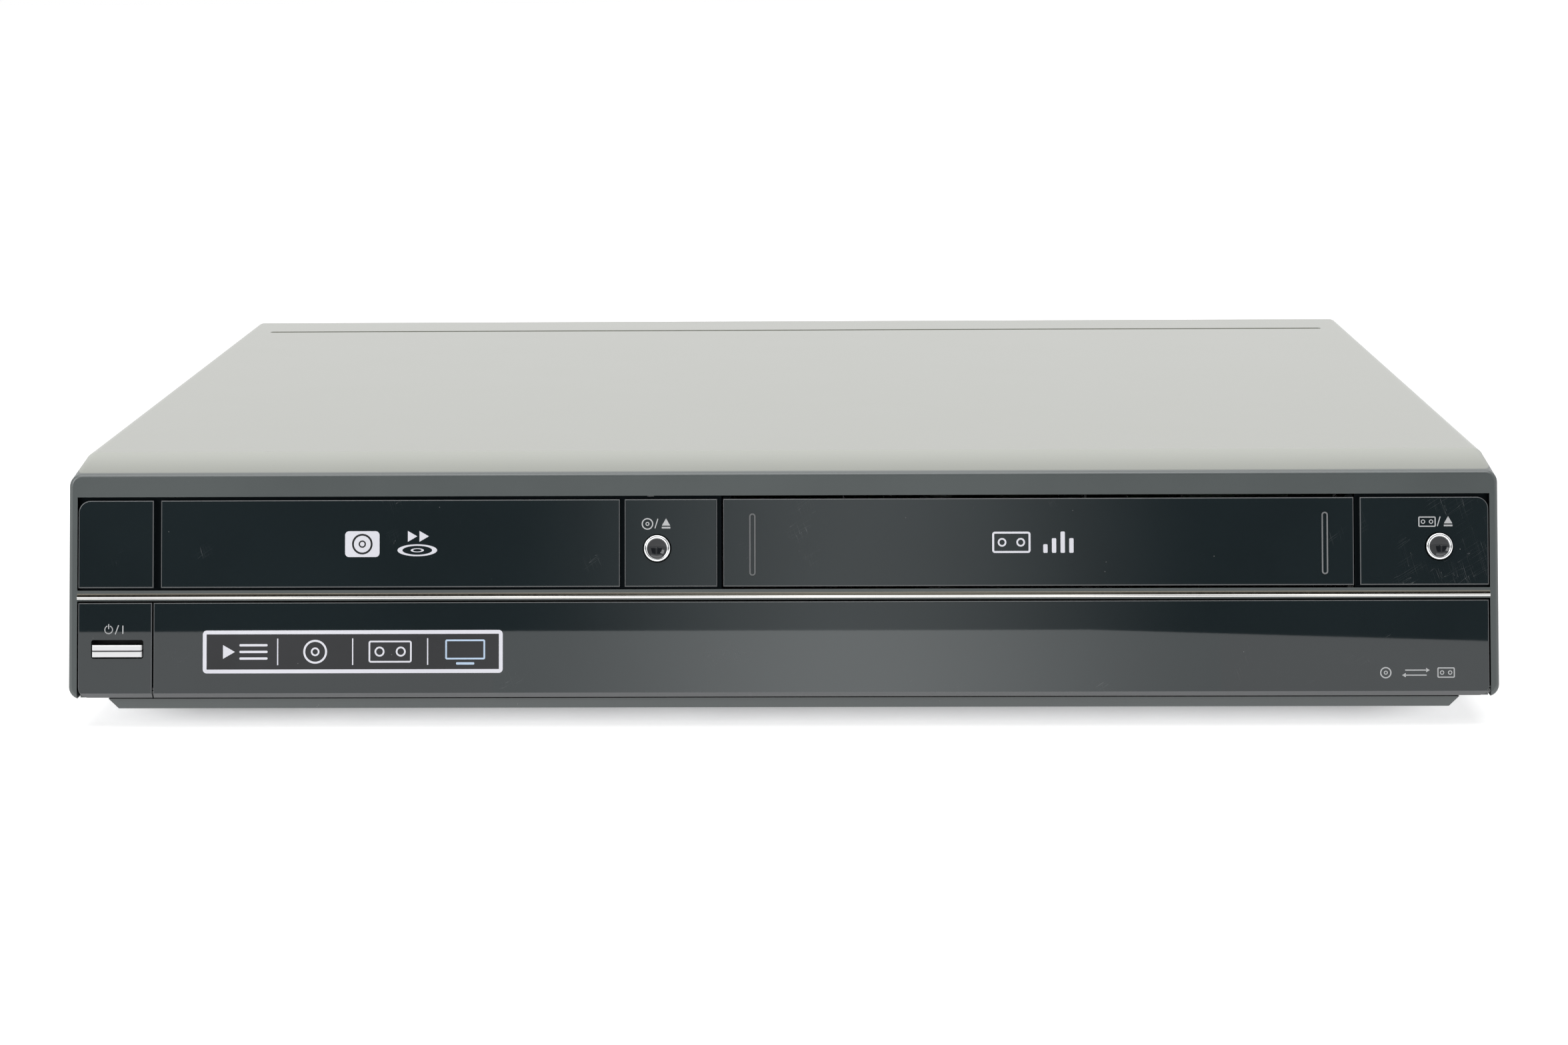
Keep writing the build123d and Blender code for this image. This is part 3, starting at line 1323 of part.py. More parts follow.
pinch_plate_z = deck_top_z + running_gap
pinch_end = (
    pinch_pivot[0] + pinch_arm_length * cos(radians(pinch_rest_angle)),
    pinch_pivot[1] + pinch_arm_length * sin(radians(pinch_rest_angle)),
)
with BuildPart() as pinch_arm:
    with BuildSketch(Plane.XY.offset(pinch_plate_z)):
        with Locations(pinch_pivot):
            Circle(5)
        with Locations(pinch_end):
            Circle(4)
        make_hull()
    extrude(amount=2)
    with BuildSketch(Plane.XY.offset(pinch_plate_z)):
        with Locations(pinch_pivot):
            Circle(3.4)
    extrude(amount=10)
    with BuildSketch(Plane.XY.offset(pinch_plate_z)):
        with Locations(pinch_pivot):
            Circle(reel_shaft_radius + shaft_fit)
    extrude(amount=10, mode=Mode.SUBTRACT)
    with BuildSketch(Plane.XY.offset(pinch_plate_z + 2)):
        with Locations(pinch_end):
            Circle(1.5)
    extrude(amount=tape_centre_z + tape_width / 2 + 3 - pinch_plate_z - 2)
pinch_arm.part.label = "pinch_arm"
export_step(pinch_arm.part, "parts/pinch_arm.step")

with BuildPart() as pinch_roller:
    with BuildSketch(Plane.XY.offset(tape_centre_z - tape_width / 2 - 0.5)):
        with Locations(pinch_end):
            Circle(pinch_radius)
            Circle(1.5 + shaft_fit, mode=Mode.SUBTRACT)
    extrude(amount=tape_width + 1)
pinch_roller.part.label = "pinch_roller"
export_step(pinch_roller.part, "parts/pinch_roller.step")

# Guide posts: a foot, a slim post and two flanges that keep the tape in line
with BuildPart() as tape_guides:
    for post_x, post_y in ((-42, -6), (-38, 12), (40, 14), (56, -18)):
        with BuildSketch(Plane.XZ.offset(-post_y)):
            with Locations((deck_x + post_x, deck_top_z)):
                Polygon(
                    (0, 0), (3.2, 0), (3.2, 4), (1.6, 5), (1.6, 11.6), (3, 11.6), (3, 12.8), (2.4, 13.4),
                    (2.4, 26.2), (3, 26.8), (3, 28), (0, 28),
                    align=None,
                )
        revolve(axis=Axis((deck_x + post_x, post_y, 0), (0, 0, 1)))
tape_guides.part.label = "tape_guides"
export_step(tape_guides.part, "parts/tape_guides.step")

with BuildPart() as tape_heads:
    with BuildSketch(Plane.XY.offset(deck_top_z)):
        with Locations((deck_x - 54, -4), (deck_x + 20, -15)):
            RectangleRounded(9, 7, 2)
    extrude(amount=29)
tape_heads.part.label = "tape_heads"
export_step(tape_heads.part, "parts/tape_heads.step")

# ---------------------------------------------------------------- boards, power supply and fan

with BuildPart() as power_board:
    with BuildSketch(Plane.XY.offset(board_z)):
        with Locations((sum(power_board_x) / 2, sum(rear_boards_y) / 2)):
            Rectangle(power_board_x[1] - power_board_x[0], rear_boards_y[1] - rear_boards_y[0])
    extrude(amount=board_gauge)
power_board.part.label = "power_board"
export_step(power_board.part, "parts/power_board.step")

with BuildPart() as main_board:
    with BuildSketch(Plane.XY.offset(board_z)):
        with Locations((sum(main_board_x) / 2, sum(rear_boards_y) / 2)):
            Rectangle(main_board_x[1] - main_board_x[0], rear_boards_y[1] - rear_boards_y[0])
    extrude(amount=board_gauge)
    with BuildSketch(Plane.XY.offset(board_top_z)):
        with Locations((10, 108), (60, 100)):
            Rectangle(28, 28)
        with Locations((108, 96), (108, 118), (-30, 92)):
            Rectangle(12, 18)
    extrude(amount=2.2)
main_board.part.label = "main_board"
export_step(main_board.part, "parts/main_board.step")

with BuildPart() as power_transformer:
    with BuildSketch(Plane.XY.offset(board_top_z)):
        with Locations(transformer_place):
            Rectangle(transformer_size[0], transformer_size[1] - 8)
            Rectangle(transformer_size[0] - 12, transformer_size[1])
    extrude(amount=transformer_size[2])
power_transformer.part.label = "power_transformer"
export_step(power_transformer.part, "parts/power_transformer.step")

with BuildPart() as mains_capacitor:
    with BuildSketch(Plane.XY.offset(board_top_z)):
        with Locations(capacitor_place):
            Circle(capacitor_radius)
    extrude(amount=capacitor_height)
    fillet(mains_capacitor.faces().sort_by(Axis.Z)[-1].edges(), 1.2)
mains_capacitor.part.label = "mains_capacitor"
export_step(mains_capacitor.part, "parts/mains_capacitor.step")

with BuildPart() as heat_sink:
    with BuildSketch(Plane.XY.offset(board_top_z)):
        with Locations(heat_sink_place):
            Rectangle(heat_sink_size[0], heat_sink_size[1])
        with Locations((heat_sink_place[0], heat_sink_place[1] + (heat_sink_size[1] + heat_sink_fin[1]) / 2)):
            fin_pitch = (heat_sink_size[0] - heat_sink_fin[0]) / (heat_sink_fins - 1)
            with GridLocations(fin_pitch, 0, heat_sink_fins, 1):
                Rectangle(*heat_sink_fin)
    extrude(amount=heat_sink_size[2])
heat_sink.part.label = "heat_sink"
export_step(heat_sink.part, "parts/heat_sink.step")

# The tuner can carries its two aerial sockets through the rear panel.
with BuildPart() as tuner_module:
    tuner_rear_y = rear_face_y - rear_gauge
    socket_end_y = rear_face_y + aerial_reach
    with BuildSketch(Plane.XY.offset(aerial_z - tuner_size[2] / 2)):
        with Locations((tuner_x, tuner_rear_y - tuner_size[1] / 2)):
            Rectangle(tuner_size[0], tuner_size[1])
    extrude(amount=tuner_size[2])
    with BuildSketch(Plane.XZ.offset(-socket_end_y)):
        with Locations((tuner_x, aerial_z)):
            with GridLocations(aerial_pitch, 0, 2, 1):
                Circle(aerial_radius)
    extrude(amount=socket_end_y - tuner_rear_y)
    with BuildSketch(Plane.XZ.offset(-socket_end_y)):
        with Locations((tuner_x, aerial_z)):
            with GridLocations(aerial_pitch, 0, 2, 1):
                Circle(aerial_radius - 0.8)
                Circle(1.2, mode=Mode.SUBTRACT)
    extrude(amount=aerial_reach - 1, mode=Mode.SUBTRACT)
tuner_module.part.label = "tuner_module"
export_step(tuner_module.part, "parts/tuner_module.step")

fan_rear_y = rear_face_y - rear_gauge
fan_front_y = fan_rear_y - fan_thickness
with BuildPart() as fan_housing:
    with BuildSketch(Plane.XZ.offset(-fan_front_y)):
        with Locations((fan_x, fan_z)):
            RectangleRounded(fan_size, fan_size, 3)
            Circle(fan_bore_radius, mode=Mode.SUBTRACT)
            with GridLocations(fan_size - 8, fan_size - 8, 2, 2):
                Circle(1.8, mode=Mode.SUBTRACT)
    extrude(amount=-fan_thickness)
    with BuildSketch(Plane.XZ.offset(-fan_front_y)):
        with Locations((fan_x, fan_z)):
            Circle(fan_hub_radius)
            with PolarLocations((fan_bore_radius + fan_hub_radius) / 2, 3, start_angle=90):
                Rectangle(fan_bore_radius - fan_hub_radius + 2, 2.4)
    extrude(amount=-1.6)
fan_housing.part.label = "fan_housing"
export_step(fan_housing.part, "parts/fan_housing.step")

with BuildPart() as fan_rotor:
    rotor_front_y = fan_front_y + 1.6 + running_gap
    with BuildSketch(Plane.XZ.offset(-rotor_front_y)):
        with Locations((fan_x, fan_z)):
            Circle(fan_hub_radius)
    extrude(amount=-(fan_rear_y - rotor_front_y - 0.6))
    for blade in range(fan_blades):
        turn = 2 * pi * blade / fan_blades
        outwards = Vector(cos(turn), 0, sin(turn))
        blade_y = (rotor_front_y + fan_rear_y - 0.6) / 2
        start = Vector(fan_x, blade_y, fan_z) + outwards * (fan_hub_radius - 0.6)
        with BuildSketch(Plane(origin=start, x_dir=(0, 1, 0), z_dir=outwards)):
            Rectangle(fan_blade[1], fan_blade[0], rotation=fan_blade_pitch)
        extrude(amount=fan_tip_radius - fan_hub_radius + 0.6)
fan_rotor.part.label = "fan_rotor"
export_step(fan_rotor.part, "parts/fan_rotor.step")

# ---------------------------------------------------------------- rear sockets

with BuildPart() as mains_inlet:
    with BuildSketch(Plane.XZ.offset(-(rear_face_y + 1.0))):
        with Locations((inlet_x, inlet_z)):
            Rectangle(*inlet_size)
    extrude(amount=rear_gauge + 17.0)
    with BuildSketch(Plane.XZ.offset(-(rear_face_y + 1.0))):
        with Locations((inlet_x, inlet_z)):
            SlotOverall(15.6, 8.6)
    extrude(amount=12.0, mode=Mode.SUBTRACT)
    with BuildSketch(Plane.XZ.offset(-(rear_face_y - 11.0))):
        with Locations((inlet_x, inlet_z)):
            with GridLocations(8.6, 0, 2, 1):
                Circle(1.2)
    extrude(amount=-9.0)
mains_inlet.part.label = "mains_inlet"
export_step(mains_inlet.part, "parts/mains_inlet.step")

with BuildPart() as scart_sockets:
    for middle_x in scart_x:
        with BuildSketch(Plane.XZ.offset(-(rear_face_y + 3.0))) as scart_face:
            with Locations((middle_x, scart_z)):
                Rectangle(*scart_size)
        extrude(amount=rear_gauge + 12.0)
        with BuildSketch(Plane.XZ.offset(-(rear_face_y + 3.0))):
            with Locations((middle_x, scart_z)):
                Rectangle(scart_size[0] - 2.4, scart_size[1] - 2.4)
                Rectangle(scart_size[0] - 8, scart_size[1] - 8, mode=Mode.SUBTRACT)
        extrude(amount=9.0, mode=Mode.SUBTRACT)
scart_sockets.part.label = "scart_sockets"
export_step(scart_sockets.part, "parts/scart_sockets.step")

with BuildPart() as rca_sockets:
    rca_places = [(x, z) for x in rca_columns for z in rca_rows]
    with BuildSketch(Plane.XZ.offset(-(rear_face_y + jack_reach))):
        with Locations(*rca_places):
            Circle(rca_radius)
            Circle(1.7, mode=Mode.SUBTRACT)
    extrude(amount=rear_gauge + jack_reach + 6.0)
rca_sockets.part.label = "rca_sockets"
export_step(rca_sockets.part, "parts/rca_sockets.step")

with BuildPart() as hdmi_socket:
    with BuildSketch(Plane.XZ.offset(-(rear_face_y + 0.6))):
        with Locations((hdmi_x, hdmi_z)):
            Rectangle(*hdmi_size)
    extrude(amount=rear_gauge + 11.0)
    with BuildSketch(Plane.XZ.offset(-(rear_face_y + 0.6))):
        with Locations((hdmi_x, hdmi_z)):
            Rectangle(hdmi_size[0] - 1, hdmi_size[1] - 1)
    extrude(amount=8.0, mode=Mode.SUBTRACT)
    with BuildSketch(Plane.XZ.offset(-(rear_face_y - 7.4))):
        with Locations((hdmi_x, hdmi_z + 0.4)):
            Rectangle(hdmi_size[0] - 4, 1.2)
    extrude(amount=-7.0)
hdmi_socket.part.label = "hdmi_socket"
export_step(hdmi_socket.part, "parts/hdmi_socket.step")
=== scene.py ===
# %% [markdown]
# A disc recorder and video cassette recorder in one flat case, with a leaning front.
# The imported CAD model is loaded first, and nothing in it is moved. Blender adds the
# finishes, the printed signs and the fine pressings that a CAD model leaves out.

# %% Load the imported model
import math

import bpy
from mathutils import Euler, Matrix, Vector


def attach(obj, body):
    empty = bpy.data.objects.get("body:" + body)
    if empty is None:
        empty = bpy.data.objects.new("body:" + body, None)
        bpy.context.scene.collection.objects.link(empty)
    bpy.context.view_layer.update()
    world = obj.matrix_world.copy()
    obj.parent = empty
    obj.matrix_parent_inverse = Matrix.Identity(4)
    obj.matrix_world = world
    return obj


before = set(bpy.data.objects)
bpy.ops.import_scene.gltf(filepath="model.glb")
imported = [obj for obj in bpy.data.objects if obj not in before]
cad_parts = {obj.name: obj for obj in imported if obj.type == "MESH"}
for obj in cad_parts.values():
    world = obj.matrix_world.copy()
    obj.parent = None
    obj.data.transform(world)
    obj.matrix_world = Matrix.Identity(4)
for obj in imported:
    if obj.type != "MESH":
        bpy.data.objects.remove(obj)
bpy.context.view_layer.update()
MM = 0.001

# %% [markdown]
# The whole front leans back by 12.76 degrees. Everything printed or pressed on it is
# modelled flat, x across and y up, and then laid on the leaning plane in one step.
# The plane's foot is the line where the face would meet the table.

# %% The leaning front plane
LEAN = math.radians(12.76)
FACE_FOOT_Y = -0.1792194
face_plane = Matrix(
    (
        (1, 0, 0, 0),
        (0, math.sin(LEAN), -math.cos(LEAN), FACE_FOOT_Y),
        (0, math.cos(LEAN), math.sin(LEAN), 0),
        (0, 0, 0, 1),
    )
)


def along(height):
    """Distance up the leaning face at a height above the table, both in millimetres."""
    return height / math.cos(LEAN)


print("face plane foot at y =", FACE_FOOT_Y)

# %% [markdown]
# The camera stands a little above the table and about 1.16 m in front. A long lens
# keeps the two ends of the case nearly the same size, as in a catalogue picture.
# Its place was solved from the corners of the case, so the outline lands as it should.

# %% Camera
CAMERA_PLACE = Vector((0.0183, -1.1619, 0.2505))
CAMERA_DOWN = math.radians(10.777)
CAMERA_TURN = math.radians(1.000)
CAMERA_ROLL = math.radians(-0.353)
SENSOR_WIDTH = 36.0
IMAGE_WIDTH = 2352
FOCAL_PIXELS = 5059.3

camera_data = bpy.data.cameras.new("front_camera")
camera_data.sensor_width = SENSOR_WIDTH
camera_data.lens = FOCAL_PIXELS / IMAGE_WIDTH * SENSOR_WIDTH
camera = bpy.data.objects.new("front_camera", camera_data)
bpy.context.scene.collection.objects.link(camera)
aim = Euler((math.pi / 2 - CAMERA_DOWN, 0, CAMERA_TURN), "XYZ").to_matrix().to_4x4()
camera.matrix_world = Matrix.Translation(CAMERA_PLACE) @ aim @ Matrix.Rotation(CAMERA_ROLL, 4, "Z")
bpy.context.scene.camera = camera
print("lens:", round(camera_data.lens, 2), "mm")

# %% [markdown]
# Node materials are built by a few small helpers. The first adds a node and fills its
# sockets, either with a plain value or with a link, so that a material reads as a list.
# The second starts a group, which keeps an effect that several materials share.

# %% Helpers for nodes and groups
def add_node(tree, kind, inputs=None, **settings):
    """Adds a node. A socket given as an input is linked, and any other value is set."""
    node = tree.nodes.new(kind)
    for name, value in settings.items():
        setattr(node, name, value)
    for name, value in (inputs or {}).items():
        if isinstance(value, bpy.types.NodeSocket):
            tree.links.new(value, node.inputs[name])
        else:
            node.inputs[name].default_value = value
    return node


def new_group(name, inputs, outputs):
    """Starts a node group with named number inputs and named outputs."""
    group = bpy.data.node_groups.new(name, "ShaderNodeTree")
    for socket, value in inputs.items():
        made = group.interface.new_socket(socket, in_out="INPUT", socket_type="NodeSocketFloat")
        made.default_value = value
    for socket in outputs:
        group.interface.new_socket(socket, in_out="OUTPUT", socket_type="NodeSocketFloat")
    return group, group.nodes.new("NodeGroupInput"), group.nodes.new("NodeGroupOutput")


def object_place(tree):
    """The place on the object, in metres, in the frame that all pieces share."""
    return add_node(tree, "ShaderNodeTexCoord").outputs["Object"]


def object_axis(tree, axis):
    """One coordinate of that place."""
    return add_node(tree, "ShaderNodeSeparateXYZ", {"Vector": object_place(tree)}).outputs[axis]


print("node helpers ready")

# %% [markdown]
# A mask is a number from 0 to 1 that says where something is. Masks are made by maths on
# the place or on a noise, softened by a smooth step, and then used to mix two colours.

# %% Helpers for masks and mixes
def maths(tree, operation, first, second=0.0, third=0.0):
    """Adds a maths node and returns its result."""
    node = tree.nodes.new("ShaderNodeMath")
    node.operation = operation
    for socket, value in zip(node.inputs, (first, second, third)):
        if isinstance(value, bpy.types.NodeSocket):
            tree.links.new(value, socket)
        else:
            socket.default_value = value
    return node.outputs[0]


def smooth_step(tree, value, low, high):
    """A soft step from 0 at low to 1 at high."""
    node = add_node(
        tree, "ShaderNodeMapRange", {"Value": value, "From Min": low, "From Max": high},
        interpolation_type="SMOOTHSTEP",
    )
    return node.outputs["Result"]


def mix_colours(tree, mask, first, second):
    """Mixes two colours by a mask."""
    node = tree.nodes.new("ShaderNodeMix")
    node.data_type = "RGBA"
    tree.links.new(mask, node.inputs[0])
    for socket, value in ((node.inputs[6], first), (node.inputs[7], second)):
        if isinstance(value, bpy.types.NodeSocket):
            tree.links.new(value, socket)
        else:
            socket.default_value = value
    return node.outputs[2]


print("mask helpers ready")

# %% [markdown]
# Real plastic and paint are never one flat colour. This first effect gives a fine grain
# for the bump and a slow, cloudy shade change that also drifts the roughness.

# %% Effect: grain and shade
grain_group, grain_in, grain_out = new_group(
    "grain_and_shade", {"Scale": 2000.0}, ("Height", "Shade")
)
place = object_place(grain_group)
fine = add_node(
    grain_group, "ShaderNodeTexNoise",
    {"Vector": place, "Scale": grain_in.outputs["Scale"], "Detail": 3.0, "Roughness": 0.55},
)
slow = add_node(grain_group, "ShaderNodeTexNoise", {"Vector": place, "Scale": 26.0, "Detail": 4.0})
clouds = smooth_step(grain_group, slow.outputs["Fac"], 0.3, 0.7)
grain_group.links.new(fine.outputs["Fac"], grain_out.inputs["Height"])
grain_group.links.new(clouds, grain_out.inputs["Shade"])
print("group:", grain_group.name)

# %% [markdown]
# Gloss black shows every touch. Hairline scratches could be drawn one by one, but a noise
# does it with no list of places: it is turned, then stretched along one direction, and cut
# to the thin line where it passes its middle. Only some patches of the surface carry them.

# %% Effect: hairline scratches
SCRATCH_WAYS = ((0.55, 22.0), (-1.25, 34.0))
SCRATCH_EDGE = (0.0005, 0.004)
PATCH_EDGE = (0.0, 0.08)
scratch_group, scratch_in, scratch_out = new_group(
    "hairline_scratches", {"Density": 0.5}, ("Mask",)
)
place = object_place(scratch_group)
lines = None
for turn, stretch in SCRATCH_WAYS:
    turned = add_node(
        scratch_group, "ShaderNodeMapping", {"Vector": place, "Rotation": (0.0, turn, 0.0)}
    )
    stretched = add_node(
        scratch_group, "ShaderNodeMapping",
        {"Vector": turned.outputs[0], "Scale": (1.0, 1.0, stretch)},
    )
    streaks = add_node(
        scratch_group, "ShaderNodeTexNoise",
        {"Vector": stretched.outputs[0], "Scale": 34.0, "Detail": 1.0},
    )
    crest = maths(scratch_group, "SUBTRACT", streaks.outputs["Fac"], 0.5)
    crest = maths(scratch_group, "ABSOLUTE", crest)
    line = smooth_step(scratch_group, crest, *SCRATCH_EDGE)
    line = maths(scratch_group, "SUBTRACT", 1.0, line)
    lines = line if lines is None else maths(scratch_group, "MAXIMUM", lines, line)
patches = add_node(
    scratch_group, "ShaderNodeTexNoise", {"Vector": place, "Scale": 70.0, "Detail": 2.0}
)
limit = maths(scratch_group, "MULTIPLY", scratch_in.outputs[0], 0.3)
limit = maths(scratch_group, "SUBTRACT", 0.75, limit)
over = maths(scratch_group, "SUBTRACT", patches.outputs["Fac"], limit)
where = smooth_step(scratch_group, over, *PATCH_EDGE)
scratched = maths(scratch_group, "MULTIPLY", lines, where)
scratch_group.links.new(scratched, scratch_out.inputs["Mask"])
print("group:", scratch_group.name)

# %% [markdown]
# Dust lies as small pale specks. Cells of a Voronoi pattern give a point each, and a
# noise decides which of them really holds a speck.

# %% Effect: dust
SPECK_EDGE = (0.03, 0.11)
SPECK_SHARE = 0.08
dust_group, dust_in, dust_out = new_group("dust_specks", {"Amount": 0.4}, ("Mask",))
place = object_place(dust_group)
cells = add_node(dust_group, "ShaderNodeTexVoronoi", {"Vector": place, "Scale": 620.0})
away = smooth_step(dust_group, cells.outputs["Distance"], *SPECK_EDGE)
speck = maths(dust_group, "SUBTRACT", 1.0, away)
chosen = add_node(dust_group, "ShaderNodeTexWhiteNoise", {"Vector": cells.outputs["Position"]})
kept = maths(
    dust_group, "LESS_THAN", chosen.outputs["Value"],
    maths(dust_group, "MULTIPLY", dust_in.outputs["Amount"], SPECK_SHARE),
)
dust_group.links.new(maths(dust_group, "MULTIPLY", speck, kept), dust_out.inputs["Mask"])
print("group:", dust_group.name)

# %% [markdown]
# One recipe serves all plain mouldings and painted sheets: a colour that drifts a
# little, a roughness that drifts with it, grain in the bump, and marks of handling.
# Values that never change over the surface are set straight on the shader.

# %% Recipe: moulded or painted surface
SCRATCH_COLOUR = (0.30, 0.31, 0.32, 1)
SCRATCH_CHANGE = {"colour": 0.30, "roughness": 0.25}
DUST_COLOUR = (0.42, 0.42, 0.41, 1)
DUST_CHANGE = {"colour": 0.55, "roughness": 0.5}


def group_node(tree, group, **values):
    """Places a node group in a material."""
    node = tree.nodes.new("ShaderNodeGroup")
    node.node_tree = group
    for name, value in values.items():
        node.inputs[name].default_value = value
    return node


def surface(
    name, colour, roughness, grain=(2000.0, 0.02), drift=0.12, marks=(0.0, 0.0),
    drifting=0.25, **plain,
):
    """A finish with grain (scale, depth in mm), colour drift, marks (scratches, dust) and a
    share by which the roughness drifts. Other names go straight to the shader's sockets."""
    finish = bpy.data.materials.new(name)
    finish.use_nodes = True
    tree = finish.node_tree
    shader = tree.nodes["Principled BSDF"]
    touch = group_node(tree, grain_group, Scale=grain[0])
    dark = tuple(c * (1 - drift) for c in colour) + (1,)
    light = tuple(min(1, c * (1 + drift)) for c in colour) + (1,)
    shade = mix_colours(tree, touch.outputs["Shade"], dark, light)
    rough = maths(
        tree, "MULTIPLY_ADD", touch.outputs["Shade"],
        roughness * drifting, roughness * (1 - drifting / 2),
    )
    if marks[0]:
        scratched = group_node(tree, scratch_group, Density=marks[0]).outputs["Mask"]
        paler = maths(tree, "MULTIPLY", scratched, SCRATCH_CHANGE["colour"])
        shade = mix_colours(tree, paler, shade, SCRATCH_COLOUR)
        rough = maths(tree, "MULTIPLY_ADD", scratched, SCRATCH_CHANGE["roughness"], rough)
    if marks[1]:
        dusty = group_node(tree, dust_group, Amount=marks[1]).outputs["Mask"]
        paler = maths(tree, "MULTIPLY", dusty, DUST_CHANGE["colour"])
        shade = mix_colours(tree, paler, shade, DUST_COLOUR)
        rough = maths(tree, "MULTIPLY_ADD", dusty, DUST_CHANGE["roughness"], rough)
    tree.links.new(shade, shader.inputs["Base Color"])
    tree.links.new(rough, shader.inputs["Roughness"])
    bump = add_node(
        tree, "ShaderNodeBump",
        {"Height": touch.outputs["Height"], "Strength": 0.5, "Distance": grain[1] * MM},
    )
    tree.links.new(bump.outputs["Normal"], shader.inputs["Normal"])
    for socket, value in plain.items():
        shader.inputs[socket.replace("_", " ")].default_value = value
    return finish


print("recipe: surface")

# %% [markdown]
# A finish is put on a CAD node through its material slots, so that the node's mesh stays
# as it is. The names are noted, and the last cell says whether a node was forgotten.

# %% Helpers for finishes
finished = set()


def base_colour(finish):
    """The shader's colour socket, and what feeds it now."""
    socket = finish.node_tree.nodes["Principled BSDF"].inputs["Base Color"]
    return socket, socket.links[0].from_socket


def give(finish, *names):
    """Puts a finish on CAD nodes."""
    for name in names:
        for place_in_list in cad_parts[name].material_slots:
            place_in_list.material = finish
        finished.add(name)


print("nodes to finish:", len(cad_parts))

# %% [markdown]
# The folded cover is sprayed with a satin grey paint that turns paler at a flat angle, so
# it gets a thin clear coat. The front moulding is satin plastic in one shade, with two more
# shades of painted light. The recess behind the panels is painted black as painted shade,
# so that the gaps between them read as dark lines: its mask is the depth behind the
# leaning plane, kept within the recess. Black taken as a metal gives no pale sheen, which a
# black plastic would at this roughness. The brow above the front's upper edge gets a
# painted reflection: it is painted paler, more so towards the cover, for the room's sheen
# at a flat angle.
# Masks by height and depth keep all of this in one finish, on the CAD's own mesh.

# %% Case finishes
RECESS_DEPTH = 0.3
RECESS_HEIGHTS = (9.6, 68.7)
RECESS_HALF_WIDTH = 212.45
# Painted shade: the recess colour stands in for the shade in the gaps between the panels.
RECESS_PAINTED_SHADE = (0.009, 0.012, 0.014, 1)
BROW_FOOT = 75.5
BROW_HALF_WIDTH = 214.5
# Painted reflection: the brow's two pale colours stand in for the room's sheen at a flat angle.
BROW_PAINTED_SHEEN = ((0.26, 0.27, 0.235, 1), (0.44, 0.455, 0.41, 1))

cover_paint = surface(
    "cover_paint", (0.215, 0.224, 0.182), 0.30, (1500.0, 0.02), 0.015, (0.0, 0.25),
    drifting=0.04, IOR=1.8, Coat_Weight=0.6, Coat_Roughness=0.22,
)
fascia_satin = surface(
    "fascia_satin", (0.072, 0.086, 0.086), 0.34, (2600.0, 0.015), 0.04, (0.0, 0.25),
    drifting=0.06, IOR=1.75,
)
tree = fascia_satin.node_tree
place = object_place(tree)
from_foot = add_node(
    tree, "ShaderNodeVectorMath", {0: place, 1: (0, FACE_FOOT_Y, 0)}, operation="SUBTRACT"
).outputs[0]
inward = (0, math.cos(LEAN), -math.sin(LEAN))
behind = add_node(
    tree, "ShaderNodeVectorMath", {0: from_foot, 1: inward}, operation="DOT_PRODUCT"
).outputs["Value"]
height = object_axis(tree, "Z")
across = maths(tree, "ABSOLUTE", object_axis(tree, "X"))
recess = maths(tree, "GREATER_THAN", behind, RECESS_DEPTH * MM)
for limit in (
    maths(tree, "LESS_THAN", height, RECESS_HEIGHTS[1] * MM),
    maths(tree, "GREATER_THAN", height, RECESS_HEIGHTS[0] * MM),
    maths(tree, "LESS_THAN", across, RECESS_HALF_WIDTH * MM),
):
    recess = maths(tree, "MULTIPLY", recess, limit)
on_brow = maths(
    tree, "MULTIPLY", smooth_step(tree, height, BROW_FOOT * MM, (BROW_FOOT + 0.2) * MM),
    maths(tree, "LESS_THAN", across, BROW_HALF_WIDTH * MM),
)
# Painted reflection: paler up the brow, towards the cover.
up_the_brow = smooth_step(tree, height, (BROW_FOOT - 0.5) * MM, (BROW_FOOT + 3.5) * MM)
colour_in, satin = base_colour(fascia_satin)
satin = mix_colours(tree, on_brow, satin, mix_colours(tree, up_the_brow, *BROW_PAINTED_SHEEN))
# Painted shade: the recess is coloured black, with no sheen, where the gaps fall in shade.
tree.links.new(mix_colours(tree, recess, satin, RECESS_PAINTED_SHADE), colour_in)
tree.links.new(recess, tree.nodes["Principled BSDF"].inputs["Metallic"])
give(cover_paint, "top_cover")
give(fascia_satin, "front_fascia")
print("finished:", len(finished))

# %% [markdown]
# The gloss panels are black plastic, moulded in polished steel. Their rounded front edges
# get a painted highlight, a pale colour that draws a fine line round each panel. The line
# could be a thin piece of its own, but a mask finds any rounded edge by itself: it is a
# normal that is turned away from the leaning face, yet still looks out. The panel by the
# cassette button is touched most and has more scratches.

# %% Gloss panels
FACE_NORMAL = (0, -math.cos(LEAN), math.sin(LEAN))
TURNED_AWAY = (0.97, 0.90)
STILL_OUT = (0.20, 0.45)
# Painted highlight: this pale colour on the rounded edges stands in for light caught there.
EDGE_HIGHLIGHT_COLOUR = (0.11, 0.115, 0.12, 1)
EDGE_HIGHLIGHT_ROUGHER = 0.3


